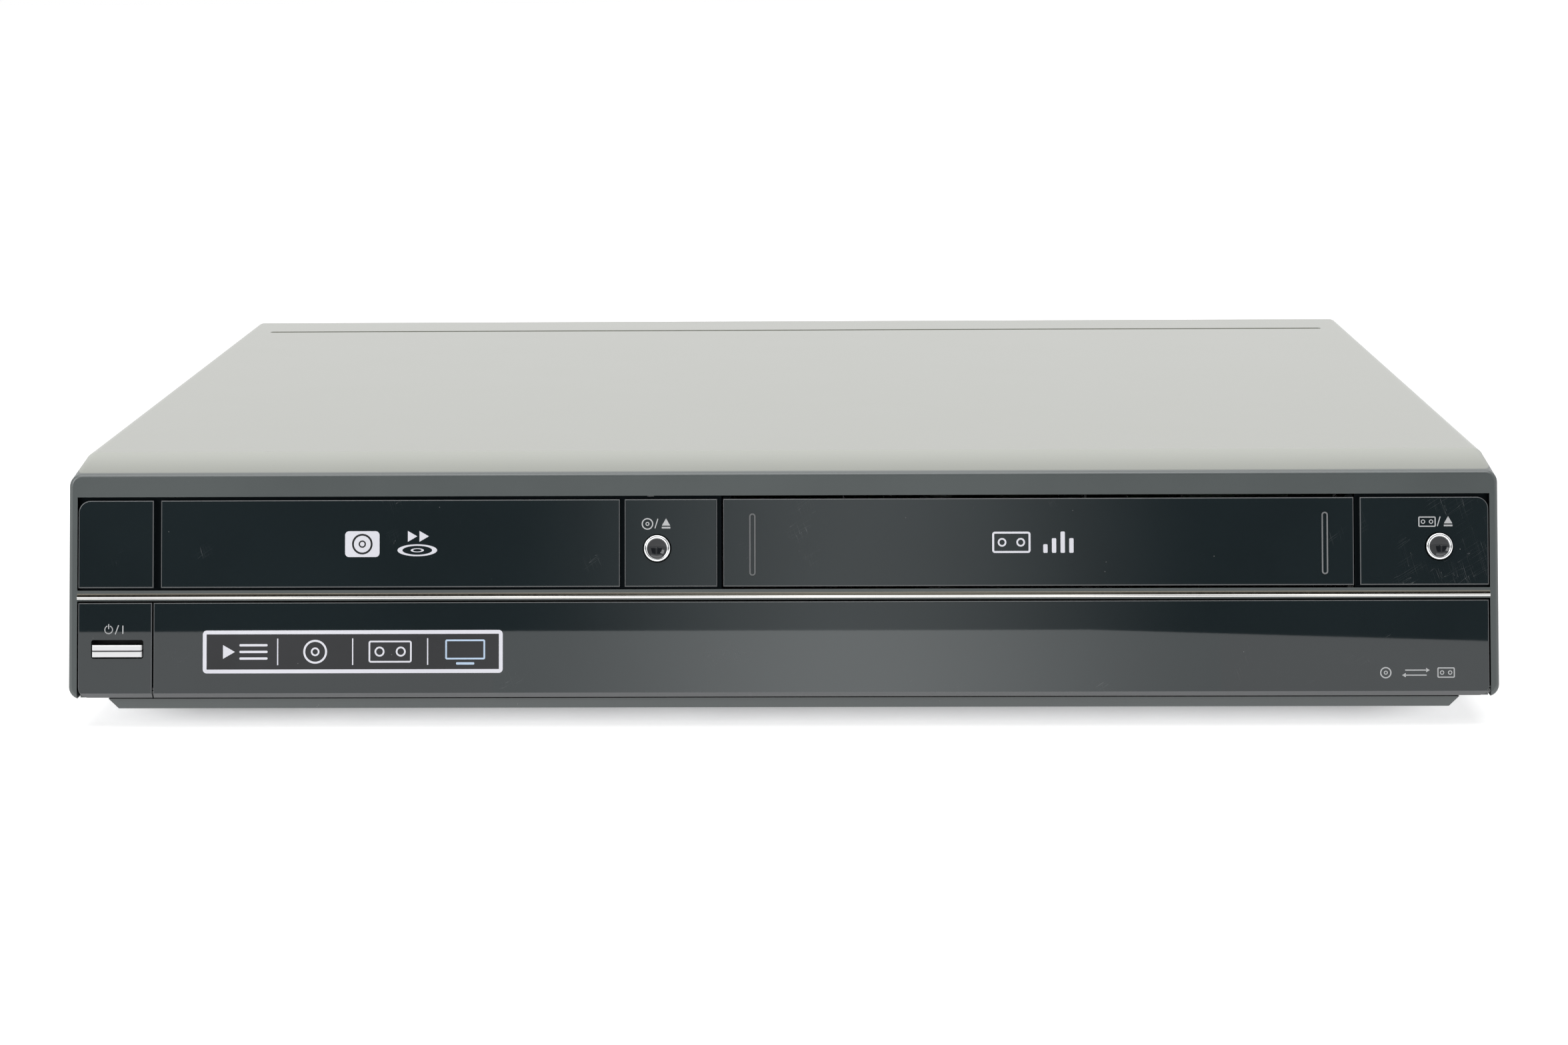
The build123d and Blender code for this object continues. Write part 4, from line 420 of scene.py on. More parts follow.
def gloss_panel(name, scratches):
    """Gloss black with a painted highlight on its rounded edges and a share of scratches."""
    finish = surface(
        name, (0.0160, 0.0235, 0.0265), 0.012, (900.0, 0.0001), 0.06, (scratches, 0.2), IOR=1.7
    )
    tree = finish.node_tree
    normal = add_node(tree, "ShaderNodeTexCoord").outputs["Normal"]
    facing = add_node(
        tree, "ShaderNodeVectorMath", {0: normal, 1: FACE_NORMAL}, operation="DOT_PRODUCT"
    ).outputs["Value"]
    # Painted highlight: the mask of rounded edges that get the pale colour.
    edge_highlight = maths(
        tree, "MULTIPLY", smooth_step(tree, facing, *TURNED_AWAY),
        smooth_step(tree, facing, *STILL_OUT),
    )
    colour_in, black = base_colour(finish)
    tree.links.new(mix_colours(tree, edge_highlight, black, EDGE_HIGHLIGHT_COLOUR), colour_in)
    roughness_in = tree.nodes["Principled BSDF"].inputs["Roughness"]
    smooth = roughness_in.links[0].from_socket
    tree.links.new(maths(tree, "MULTIPLY_ADD", edge_highlight, EDGE_HIGHLIGHT_ROUGHER, smooth), roughness_in)
    return finish


give(
    gloss_panel("gloss_black", 0.3), "left_insert", "dvd_button_insert", "tray_front",
    "cassette_door", "front_flap",
)
give(gloss_panel("worn_gloss", 0.85), "vcr_button_insert")
print("finished:", len(finished))

# %% [markdown]
# Inside and behind, most mouldings are plain black or natural nylon, which needs no oil
# and is left cream. The feet, the belt and the pinch roller are rubber. They differ only
# in colour, roughness and grain, so the one recipe makes them all.

# %% Plastics and rubber inside
black_moulding = surface(
    "black_moulding", (0.022, 0.022, 0.024), 0.5, (1800.0, 0.03), 0.12, (0.0, 0.2)
)
tray_black = surface("tray_black", (0.03, 0.03, 0.032), 0.38, (2200.0, 0.02), 0.08, (0.2, 0.3))
natural_nylon = surface("natural_nylon", (0.72, 0.69, 0.60), 0.42, (1400.0, 0.02), 0.05)
soft_rubber = surface(
    "soft_rubber", (0.028, 0.027, 0.026), 0.82, (3200.0, 0.05), 0.18, (0.0, 0.5)
)
capacitor_sleeve = surface("capacitor_sleeve", (0.02, 0.022, 0.045), 0.3, (1200.0, 0.01), 0.1)
give(
    black_moulding, "control_subpanel", "scart_sockets", "mains_inlet", "fan_housing",
    "loader_frame", "traverse_frame", "turntable", "fan_rotor",
)
give(tray_black, "disc_tray")
give(
    natural_nylon, "drive_gear", "pulley_gear", "motor_pulley", "clamper", "supply_reel",
    "takeup_reel",
)
give(soft_rubber, "feet", "drive_belt", "pinch_roller")
give(capacitor_sleeve, "mains_capacitor")
print("finished:", len(finished))

# %% [markdown]
# Turned and brushed metals show the tool's path. Fine lines cut into the mesh would take
# far too many faces, so the roughness carries them, and a highlight breaks up along them.

# %% Metals
LOOSE_LINES = 40.0
PACKED_LINES = 1400.0


def metal(name, colour, roughness, lines=(0.0, 0.0, 1.0), depth=0.006):
    """A metal whose roughness carries fine lines, packed closely along one axis."""
    finish = surface(name, colour, roughness, (1200.0, depth), 0.06)
    tree = finish.node_tree
    shader = tree.nodes["Principled BSDF"]
    shader.inputs["Metallic"].default_value = 1.0
    packing = tuple(LOOSE_LINES + PACKED_LINES * share for share in lines)
    packed = add_node(
        tree, "ShaderNodeMapping", {"Vector": object_place(tree), "Scale": packing}
    )
    streaks = add_node(
        tree, "ShaderNodeTexNoise", {"Vector": packed.outputs[0], "Scale": 1.0, "Detail": 2.0}
    )
    rough = maths(tree, "MULTIPLY_ADD", streaks.outputs["Fac"], roughness * 0.7, roughness * 0.65)
    tree.links.new(rough, shader.inputs["Roughness"])
    return finish


ground_steel = metal("ground_steel", (0.56, 0.57, 0.58), 0.26)
cast_aluminium = metal("cast_aluminium", (0.70, 0.71, 0.72), 0.36)
give(
    ground_steel, "cover_screws", "hdmi_socket", "loading_motor", "spindle_motor",
    "guide_rods", "tape_guides", "tape_heads", "capstan",
)
give(cast_aluminium, "heat_sink", "lower_drum", "upper_drum", "pickup_sled")
print("finished:", len(finished))

# %% [markdown]
# The strip across the front is plated plastic. Its colour holds a painted reflection:
# bright on its lower bead, for the pale floor that it mirrors, and smoky brown on the flat
# above it, for the dark room in front, so two colours meet at the height where the bead ends.

# %% Bright strip
STRIP_BEAD_TOP = 39.35
strip_chrome = metal("strip_chrome", (0.86, 0.87, 0.88), 0.10, (1.0, 0.0, 0.0), 0.0002)
tree = strip_chrome.node_tree
on_flat = smooth_step(
    tree, object_axis(tree, "Z"), STRIP_BEAD_TOP * MM, (STRIP_BEAD_TOP + 0.15) * MM
)
# Painted reflection: the pale and the smoky colour stand in for what the bead and the flat mirror.
tree.links.new(
    mix_colours(tree, on_flat, (0.86, 0.85, 0.82, 1), (0.20, 0.185, 0.155, 1)),
    base_colour(strip_chrome)[0],
)
give(strip_chrome, "chrome_strip")
print("finished:", len(finished))

# %% [markdown]
# The keys are lacquered silver, which is a pale paint with a little metal in it. The
# power button's crease gets painted shade: a dark line, masked by the distance from its height.

# %% Silver keys
CREASE_HEIGHT = 23.65
CREASE_EDGE = (0.16, 0.26)


def silver_key(name, colour):
    """Silver lacquer on a smooth moulding."""
    return surface(name, colour, 0.24, (2400.0, 0.001), 0.01, Metallic=0.1)


silver_lacquer = silver_key("silver_lacquer", (0.95, 0.95, 0.96))
give(silver_lacquer, "stop_button", "play_button", "record_button")
power_silver = silver_key("power_silver", (0.97, 0.97, 0.98))
tree = power_silver.node_tree
off_crease = maths(tree, "SUBTRACT", object_axis(tree, "Z"), CREASE_HEIGHT * MM)
off_crease = maths(tree, "ABSOLUTE", off_crease)
unshaded = smooth_step(tree, off_crease, *(edge * MM for edge in CREASE_EDGE))
colour_in, silver = base_colour(power_silver)
# Painted shade: the dark colour along the crease stands in for its shadow.
tree.links.new(mix_colours(tree, unshaded, (0.10, 0.10, 0.11, 1), silver), colour_in)
give(power_silver, "power_button")
print("finished:", len(finished))

# %% [markdown]
# Galvanised sheet has a pattern of zinc crystals, each turned a little differently. A
# noise would blur them, so each cell of a Voronoi pattern gets its own shade and roughness.

# %% Galvanised sheet
zinc_sheet = surface("zinc_sheet", (0.55, 0.56, 0.57), 0.34, (900.0, 0.004), 0.05)
tree = zinc_sheet.node_tree
shader = tree.nodes["Principled BSDF"]
shader.inputs["Metallic"].default_value = 1.0
crystals = add_node(tree, "ShaderNodeTexVoronoi", {"Vector": object_place(tree), "Scale": 190.0})
tint = add_node(
    tree, "ShaderNodeTexWhiteNoise", {"Vector": crystals.outputs["Position"]}
).outputs["Value"]
tree.links.new(
    mix_colours(tree, tint, (0.46, 0.47, 0.49, 1), (0.62, 0.63, 0.64, 1)),
    shader.inputs["Base Color"],
)
tree.links.new(maths(tree, "MULTIPLY_ADD", tint, 0.16, 0.26), shader.inputs["Roughness"])
give(
    zinc_sheet, "bottom_chassis", "rear_panel", "tuner_module", "clamp_bridge",
    "deck_chassis", "pinch_arm", "cassette_holder",
)
print("finished:", len(finished))

# %% [markdown]
# A circuit board is a pressed paper sheet under green lacquer. Copper runs show through
# as slightly paler bands, in square steps from a Voronoi pattern with block distance.

# %% Circuit boards
board_lacquer = surface("board_lacquer", (0.035, 0.13, 0.06), 0.34, (1500.0, 0.01), 0.08)
tree = board_lacquer.node_tree
runs = add_node(
    tree, "ShaderNodeTexVoronoi", {"Vector": object_place(tree), "Scale": 130.0},
    distance="CHEBYCHEV", feature="DISTANCE_TO_EDGE",
)
copper = maths(tree, "SUBTRACT", 1.0, smooth_step(tree, runs.outputs["Distance"], 0.10, 0.13))
tree.links.new(
    mix_colours(tree, copper, (0.028, 0.105, 0.048, 1), (0.075, 0.21, 0.085, 1)),
    base_colour(board_lacquer)[0],
)
give(board_lacquer, "front_board", "power_board", "main_board")
print("finished:", len(finished))

# %% [markdown]
# The transformer is a stack of thin plates round a wound and taped coil. The plates show
# as fine level lines on its sides, which the recipe for brushed metal gives as it is.

# %% Transformer
transformer_core = metal("transformer_core", (0.30, 0.29, 0.28), 0.5, (0.0, 0.0, 1.0), 0.05)
give(transformer_core, "power_transformer")
print("finished:", len(finished))

# %% [markdown]
# The display window behind the flap is smoked plastic, almost black and very smooth.
# Nothing behind it is lit, so it is a dark surface under a clear coat and not real glass.

# %% Smoked window
smoked_window = surface(
    "smoked_window", (0.006, 0.010, 0.014), 0.05, (700.0, 0.001), 0.2, (0.2, 0.2),
    Coat_Weight=0.4,
)
give(smoked_window, "display_window")
print("finished:", len(finished))

# %% [markdown]
# Audio and video sockets carry the usual colours: yellow for the picture, white for the
# left sound and red for the right. A row of sockets is one mesh, so a socket's colour
# follows from its place along x, with a step half way to its neighbour.

# %% Coloured sockets
def socket_colours(name, steps, colours):
    """Three colours along x, with a step at each of two places in millimetres."""
    finish = surface(name, (0.5, 0.5, 0.5), 0.34, (1500.0, 0.01), 0.05)
    tree = finish.node_tree
    across = object_axis(tree, "X")
    mixed = colours[0]
    for step, colour in zip(steps, colours[1:]):
        mixed = mix_colours(tree, maths(tree, "GREATER_THAN", across, step * MM), mixed, colour)
    tree.links.new(mixed, base_colour(finish)[0])
    return finish


YELLOW, WHITE, RED = (0.78, 0.55, 0.03, 1), (0.78, 0.78, 0.75, 1), (0.60, 0.025, 0.02, 1)
give(socket_colours("front_socket_shells", (-163, -149), (YELLOW, WHITE, RED)), "front_av_jacks")
give(socket_colours("rear_socket_shells", (-38, -22), (RED, WHITE, YELLOW)), "rca_sockets")
print("finished:", len(finished))

# %% [markdown]
# Each eject button is a bright ring round a dark, dished mirror. It is one CAD part, so
# its finish reads the distance from the button's own axis: a Mapping node turns the
# place into the leaning plane, and past a radius the dark lacquer gives way to chrome.

# %% Eject buttons
EJECT_X = {"dvd_eject_button": -37.3, "vcr_eject_button": 197.3}
EJECT_HEIGHT = 53.3
DISH_RADIUS = 2.95
CHROME = (0.88, 0.89, 0.90, 1)
DARK_LACQUER = (0.02, 0.022, 0.026, 1)


def button_finish(name, x):
    """Chrome outside the dish and dark lacquer in it."""
    finish = metal(name, CHROME[:3], 0.07, depth=0.001)
    tree = finish.node_tree
    middle = face_plane @ Vector((x * MM, along(EJECT_HEIGHT) * MM, 0))
    from_middle = add_node(
        tree, "ShaderNodeVectorMath", {0: object_place(tree), 1: middle}, operation="SUBTRACT"
    ).outputs[0]
    upright = add_node(
        tree, "ShaderNodeMapping",
        {"Vector": from_middle, "Rotation": (LEAN, 0, 0), "Scale": (1, 0, 1)}, vector_type="POINT",
    ).outputs[0]
    radius = add_node(
        tree, "ShaderNodeVectorMath", {0: upright}, operation="LENGTH"
    ).outputs["Value"]
    on_ring = smooth_step(tree, radius, (DISH_RADIUS - 0.1) * MM, (DISH_RADIUS + 0.1) * MM)
    tree.links.new(mix_colours(tree, on_ring, DARK_LACQUER, CHROME), base_colour(finish)[0])
    tree.links.new(
        maths(tree, "MULTIPLY_ADD", on_ring, 0.9, 0.1),
        tree.nodes["Principled BSDF"].inputs["Metallic"],
    )
    return finish


for button, x in EJECT_X.items():
    give(button_finish(button + "_finish", x), button)
print("finished:", len(finished), "of", len(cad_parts))

# %% [markdown]
# Printed signs are thin solids, 0.05 mm thick. A sign could be a mask in the panel's own
# finish, but as a mesh it keeps sharp edges from near by.
# Each is drawn flat with Blender's own tools, its parts are joined, and the whole is laid
# on the leaning front.

# %% Edit mode tools
PRINT = 0.05
SAME_POINT = 1e-7


def deselect():
    """Leaves nothing selected, because an operator acts on all that is."""
    bpy.ops.object.select_all(action="DESELECT")


def in_edit(*steps):
    """Runs edit mode steps on all of the active mesh."""
    bpy.ops.object.mode_set(mode="EDIT")
    bpy.ops.mesh.select_all(action="SELECT")
    for step in steps:
        step()
    bpy.ops.object.mode_set(mode="OBJECT")


def raise_by(thickness):
    """A step that pulls the flat face out into a thin solid."""
    return lambda: bpy.ops.mesh.extrude_region_move(
        TRANSFORM_OT_translate={"value": (0, 0, thickness * MM)}
    )


def recalculate():
    """A step that turns all faces outwards."""
    bpy.ops.mesh.select_all(action="SELECT")
    bpy.ops.mesh.normals_make_consistent(inside=False)


def cut_middle(line):
    """A step that leaves only a rim of the flat face."""
    bpy.ops.mesh.remove_doubles(threshold=SAME_POINT)
    bpy.ops.mesh.select_all(action="SELECT")
    bpy.ops.mesh.inset(thickness=line * MM, depth=0)
    bpy.ops.mesh.delete(type="FACE")
    bpy.ops.mesh.select_all(action="SELECT")


def put(piece, x, y, turn=0.0):
    """Places a flat piece on the drawing, in millimetres, and turns it."""
    piece.matrix_world = Matrix.Translation((x * MM, y * MM, 0)) @ Matrix.Rotation(turn, 4, "Z")
    return piece


print("print thickness:", PRINT, "mm")

# %% [markdown]
# All signs are made of four flat forms: bars, outlines, discs and rings. A triangle is a
# disc with three corners. Each form starts as a plane or a circle, is shaped in edit mode
# and is pulled out to its thickness last, so that its walls stand square.

# %% Flat forms
def bar(x, y, width, height, corner=0.0, thickness=PRINT, turn=0.0):
    """A flat bar with rounded corners."""
    deselect()
    bpy.ops.mesh.primitive_plane_add(size=1)
    steps = [lambda: bpy.ops.transform.resize(value=(width * MM, height * MM, 1))]
    if corner:
        steps.append(
            lambda: bpy.ops.mesh.bevel(
                affect="VERTICES", offset_type="OFFSET", offset=corner * MM, segments=6,
                clamp_overlap=True,
            )
        )
    in_edit(*steps, raise_by(thickness), recalculate)
    return put(bpy.context.object, x, y, turn)


def outline(x, y, width, height, line, corner, thickness=PRINT):
    """A bar with its middle taken out."""
    piece = bar(x, y, width, height, corner, 0)
    in_edit(lambda: cut_middle(line), raise_by(thickness), recalculate)
    return piece


def circle(radius, corners):
    """A flat filled circle at the origin."""
    deselect()
    bpy.ops.mesh.primitive_circle_add(vertices=corners, radius=radius * MM, fill_type="NGON")


def disc(x, y, radius, corners=32, thickness=PRINT, turn=0.0):
    """A flat disc, or a triangle when it has three corners."""
    circle(radius, corners)
    in_edit(raise_by(thickness), recalculate)
    return put(bpy.context.object, x, y, turn)


def ring(x, y, radius, line, thickness=PRINT, corners=40):
    """A flat ring."""
    circle(radius, corners)
    in_edit(lambda: cut_middle(line), raise_by(thickness), recalculate)
    return put(bpy.context.object, x, y)


print("flat forms: bar, outline, disc, ring")

# %% [markdown]
# A finished sign is joined into one mesh and moved onto the leaning plane. Its place is
# then applied, so that its object sits at the origin like a CAD node. It rides on the
# body of the panel that it is printed on, or it would stay behind when the panel moves.

# %% Laying a sign on the front
def lay_on_front(name, finish, body, slot, x, height, depth, *parts):
    """Joins the parts, lays them on the leaning front and rides them on a body."""
    deselect()
    for part in parts:
        part.select_set(True)
    bpy.context.view_layer.objects.active = parts[0]
    if len(parts) > 1:
        bpy.ops.object.transform_apply(location=True, rotation=True, scale=True)
        bpy.ops.object.join()
    piece = bpy.context.object
    piece.name = name
    onto_face = face_plane @ Matrix.Translation((x * MM, along(height) * MM, -depth * MM))
    piece.matrix_world = onto_face @ piece.matrix_world
    bpy.ops.object.transform_apply(location=True, rotation=True, scale=True)
    piece.data.materials.clear()
    piece.data.materials.append(finish)
    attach(piece, body)
    print(name, "faces:", len(piece.data.polygons))
    return piece


print("signs are laid on the plane at y =", FACE_FOOT_Y)

# %% [markdown]
# Four inks are used: pale silver for the small signs on the gloss, white for the larger
# ones and the keys, pale blue for the screen, and black for the disc on the white plate.
# They are thin and dry, so they are rougher than the gloss that they lie on.

# %% Inks
silver_ink = surface("silver_ink", (0.56, 0.57, 0.58), 0.45, (2400.0, 0.002), 0.06)
white_ink = surface("white_ink", (0.88, 0.88, 0.95), 0.4, (2400.0, 0.002), 0.04)
blue_ink = surface("blue_ink", (0.60, 0.76, 0.97), 0.4, (2400.0, 0.002), 0.04)
dark_ink = surface("dark_ink", (0.008, 0.009, 0.011), 0.35, (2400.0, 0.002), 0.1)
print("inks:", [ink.name for ink in (silver_ink, white_ink, blue_ink, dark_ink)])

# %% [markdown]
# Over each eject button stands a small sign: the medium it throws out, a slash, and the
# usual triangle over a bar. The disc is a ring with a hub. The cassette is a box with two
# reels, and the row at the right end of the flap repeats it.

# %% Eject signs
EJECT_SIGN_HEIGHT = 60.6
SLASH_TURN = -0.3
EJECT_MARK_X = 2.7


def eject_mark(x):
    """The triangle over a bar."""
    return [disc(x, 0.1, 1.45, 3), bar(x, -1.25, 2.6, 0.5)]


def small_cassette(x, y):
    """A box with two reels."""
    reels = [ring(x + reel, y, 0.65, 0.26) for reel in (-1.2, 1.2)]
    return [outline(x, y, 5.2, 3.1, 0.34, 0.4)] + reels


disc_sign = [ring(-2.9, -0.1, 1.75, 0.36), ring(-2.9, -0.1, 0.6, 0.28)]
disc_sign += [bar(-0.2, 0, 0.3, 3.0, turn=SLASH_TURN)] + eject_mark(EJECT_MARK_X)
lay_on_front(
    "disc_eject_sign", silver_ink, "case", "gloss_black",
    EJECT_X["dvd_eject_button"], EJECT_SIGN_HEIGHT, 0, *disc_sign,
)
cassette_sign = small_cassette(-3.6, -0.1)
cassette_sign += [bar(-0.1, 0, 0.3, 3.0, turn=SLASH_TURN)] + eject_mark(EJECT_MARK_X)
lay_on_front(
    "cassette_eject_sign", silver_ink, "case", "gloss_black",
    EJECT_X["vcr_eject_button"], EJECT_SIGN_HEIGHT, 0, *cassette_sign,
)

# %% [markdown]
# The cassette door has an upright oblong pressed into its gloss at each end. Each is a
# raised ring, and a Bevel modifier rounds it over. Its pale grey colour is a painted
# highlight, which stands in for the light that a pressing catches along its whole length.

# %% Door pressings
PRESSING_X = {"door_pressing_left": -8.6, "door_pressing_right": 163.1}
PRESSING_HEIGHTS = (45.2, 63.5)
PRESSING_RELIEF = 0.22
# Painted highlight: this pale grey stands in for the light on the pressings.
pressing_painted_highlight = surface(
    "pressing_painted_highlight", (0.19, 0.195, 0.20), 0.3, (1800.0, 0.004), 0.25, (0.0, 0.3)
)


def door_pressing(name, x):
    """An upright raised outline with rounded ends."""
    tall = along(PRESSING_HEIGHTS[1] - PRESSING_HEIGHTS[0])
    piece = lay_on_front(
        name, pressing_painted_highlight, "tape_door", "gloss_black", x, sum(PRESSING_HEIGHTS) / 2, 0,
        outline(0, 0, 1.9, tall, 0.42, 0.94, PRESSING_RELIEF),
    )
    soften = piece.modifiers.new("soft edge", "BEVEL")
    soften.width = 0.12 * MM
    soften.segments = 3
    soften.limit_method = "ANGLE"
    deselect()
    piece.select_set(True)
    bpy.context.view_layer.objects.active = piece
    bpy.ops.object.modifier_apply(modifier=soften.name)
    print(name, "softened, faces:", len(piece.data.polygons))


for name, x in PRESSING_X.items():
    door_pressing(name, x)

# %% [markdown]
# The power sign over the power button: a broken ring with a stroke, a slash and a bar.
# The ring form above is always closed, so the open one is drawn as an arc of short bars.

# %% Power sign
POWER_SIGN_PLACE = (-202.8, 29.8)
ARC_RADIUS = 1.15
ARC_STEPS = 12
ARC_START = 125
ARC_SWEEP = 290
arc = []
for step in range(ARC_STEPS + 1):
    angle = math.radians(ARC_START + ARC_SWEEP / ARC_STEPS * step)
    on_arc = (ARC_RADIUS * math.cos(angle), ARC_RADIUS * math.sin(angle))
    arc.append(bar(*on_arc, 0.62, 0.3, turn=angle + math.pi / 2))
strokes = [bar(0, 0.95, 0.3, 1.5), bar(2.5, 0, 0.3, 2.9, turn=-0.35), bar(4.3, 0, 0.34, 2.5)]
lay_on_front(
    "power_sign", silver_ink, "case", "gloss_black", *POWER_SIGN_PLACE, 0, *arc, *strokes
)

# %% [markdown]
# The tray front carries two small printed signs in its middle: a plate with a disc, and
# a disc seen flat under two arrow heads. The flat disc is a ring and a hub, both squeezed
# upright, because an oval of even width would look like a hoop and not like a disc.

# %% Signs on the tray front
SIGN_HEIGHT = 54.8
TRAY_PLATE_X = -126.2
FLAT_DISC_X = -109.6
TO_RIGHT = -math.pi / 2
TO_LEFT = math.pi / 2
SQUEEZE = Matrix.Diagonal((1, 0.3, 1, 1))
lay_on_front(
    "tray_sign_plate", white_ink, "tray", "gloss_black", TRAY_PLATE_X, SIGN_HEIGHT, 0,
    bar(0, 0, 10.4, 7.8, 1.2),
)
lay_on_front(
    "tray_sign_disc", dark_ink, "tray", "gloss_black", TRAY_PLATE_X, SIGN_HEIGHT, -PRINT,
    ring(0, 0, 3.1, 0.55, 0.04), ring(0, 0, 1.1, 0.4, 0.04),
)
squeezed = [ring(0, -1.9, 6.0, 1.5), ring(0, -1.9, 2.0, 0.7)]
for oval in squeezed:
    oval.matrix_world = oval.matrix_world @ SQUEEZE
heads = [disc(x, 2.3, 1.9, 3, turn=TO_RIGHT) for x in (-1.9, 1.6)]
lay_on_front(
    "tray_sign_flat_disc", white_ink, "tray", "gloss_black", FLAT_DISC_X, SIGN_HEIGHT, 0,
    *squeezed, *heads,
)

# %% [markdown]
# The door has a cassette with four sound bars beside it. The small row at the right end
# of the flap shows a disc, an arrow each way and a cassette, for copying one to the other.

# %% Signs on the door and the flap
DOOR_SIGN_X = 77.2
SOUND_BARS = (2.6, 4.4, 6.4, 4.4)
COPY_SIGN_PLACE = (190.0, 16.4)
door_sign = [outline(-8, 0, 11.5, 6.4, 0.6, 0.8)]
door_sign += [ring(reel, 0, 1.3, 0.5) for reel in (-10.8, -5.2)]
foot = -max(SOUND_BARS) / 2
door_sign += [
    bar(2.2 + 2.6 * i, foot + tall / 2, 1.3, tall, 0.3) for i, tall in enumerate(SOUND_BARS)
]
lay_on_front(
    "door_sign", white_ink, "tape_door", "gloss_black", DOOR_SIGN_X, SIGN_HEIGHT, 0, *door_sign
)
copy_sign = [ring(-9, 0, 1.7, 0.36), ring(-9, 0, 0.6, 0.28)]
for side, turn in ((1, TO_RIGHT), (-1, TO_LEFT)):
    copy_sign += [bar(0, 0.75 * side, 6.4, 0.34)]
    copy_sign += [disc(3.4 * side, 0.75 * side, 0.75, 3, turn=turn)]
copy_sign += small_cassette(9, 0)
lay_on_front("copy_sign", silver_ink, "flap", "gloss_black", *COPY_SIGN_PLACE, 0, *copy_sign)

# %% [markdown]
# The plate on the left of the flap lists what the machine can do. It is a silver frame
# round a dark field with four cells. Each cell gets a plain sign: a play triangle with a
# list, a disc, a cassette and a screen on its foot. The frame and the signs stand a
# little higher than the field, so that no two faces lie in one plane.

# %% Feature plate
PLATE_X = (-174.3, -83.8)
PLATE_HEIGHTS = (16.9, 29.5)
FIELD_RELIEF = 0.04
PLATE_RELIEF = 0.09
plate_width = PLATE_X[1] - PLATE_X[0]
plate_tall = along(PLATE_HEIGHTS[1] - PLATE_HEIGHTS[0])
plate_middle = (sum(PLATE_X) / 2, sum(PLATE_HEIGHTS) / 2)
plate_field = surface(
    "plate_field", (0.030, 0.031, 0.034), 0.30, (1500.0, 0.002), 0.1, (0.0, 0.3)
)
plate_silver = surface("plate_silver", (0.90, 0.90, 0.98), 0.34, (2600.0, 0.002), 0.03)
lay_on_front(
    "plate_field", plate_field, "flap", "gloss_black", *plate_middle, 0,
    bar(0, 0, plate_width - 0.6, plate_tall - 0.6, 0.8, FIELD_RELIEF),
)
dividers = [
    bar(plate_width * share, 0, 0.35, plate_tall * 0.62, thickness=PLATE_RELIEF)
    for share in (-0.25, 0.0, 0.25)
]
lay_on_front(
    "plate_frame", plate_silver, "flap", "gloss_black", *plate_middle, 0,
    outline(0, 0, plate_width, plate_tall, 1.15, 1.2, PLATE_RELIEF), *dividers,
)

# %% [markdown]
# The signs on the plate are placed from the middle of each of its four equal cells, so
# they keep their places if the plate gets another width.

# %% Signs on the plate
list_x, disc_x, cassette_x, screen_x = (plate_width / 4 * share for share in (-1.5, -0.5, 0.5, 1.5))
signs = [disc(list_x - 4, 0, 2.4, 3, PLATE_RELIEF, TO_RIGHT)]
signs += [bar(list_x + 4, row, 8.5, 0.7, 0.3, PLATE_RELIEF) for row in (-2.0, 0.0, 2.0)]
signs += [ring(disc_x, 0, 3.6, 0.6, PLATE_RELIEF), ring(disc_x, 0, 1.3, 0.5, PLATE_RELIEF)]
signs += [outline(cassette_x, 0, 13.0, 6.6, 0.5, 0.7, PLATE_RELIEF)]
signs += [ring(cassette_x + reel, 0, 1.5, 0.5, PLATE_RELIEF) for reel in (-3.2, 3.2)]
lay_on_front("plate_signs", white_ink, "flap", "gloss_black", *plate_middle, 0, *signs)
screen = [outline(screen_x, 0.6, 12.0, 6.0, 0.5, 0.5, PLATE_RELIEF)]
screen += [bar(screen_x, -3.6, 5.5, 0.7, 0.3, PLATE_RELIEF)]
lay_on_front("plate_screen_sign", blue_ink, "flap", "gloss_black", *plate_middle, 0, *screen)

# %% [markdown]
# Behind the flap each key gets its sign on the sub-panel: a square, a triangle and a dot.
# The sub-panel lies behind the plane of the face, so these are laid at its depth.

# %% Key signs
KEY_DEPTH = 9.0
KEY_SIGN_HEIGHT = 31.0
KEY_X = {"stop": 150, "play": 166, "record": 182}


def key_sign(key, form):
    """Lays a sign over a key."""
    lay_on_front(
        key + "_sign", white_ink, "case", "black_plastic", KEY_X[key], KEY_SIGN_HEIGHT,
        KEY_DEPTH, form,
    )


key_sign("stop", bar(0, 0, 2.2, 2.2))
key_sign("play", disc(0, 0, 1.4, 3, turn=TO_RIGHT))
key_sign("record", disc(0, 0, 1.2))

# %% [markdown]
# The stage is a plain pale floor in a pale room, with soft light. More light would turn
# the floor white but bleach the object too. So the floor and the room get a glow that only
# rays of the camera, of mirrors and of glass can see, and it puts no light on the object.

# %% Rays that see the pale room
def seen_rays(tree):
    """1 for rays of the camera, of mirrors and of glass, and 0 for light on things."""
    path = add_node(tree, "ShaderNodeLightPath")
    mirrored = maths(
        tree, "MAXIMUM", path.outputs["Is Camera Ray"], path.outputs["Is Glossy Ray"]
    )
    return maths(tree, "MAXIMUM", mirrored, path.outputs["Is Transmission Ray"])


def stage_paint(name, colour, specular):
    """A matt paint for the stage: its material, node tree and shader."""
    paint = bpy.data.materials.new(name)
    paint.use_nodes = True
    shader = paint.node_tree.nodes["Principled BSDF"]
    shader.inputs["Base Color"].default_value = colour
    shader.inputs["Roughness"].default_value = 0.9
    shader.inputs["Specular IOR Level"].default_value = specular
    return paint, paint.node_tree, shader


print("stage helpers ready")

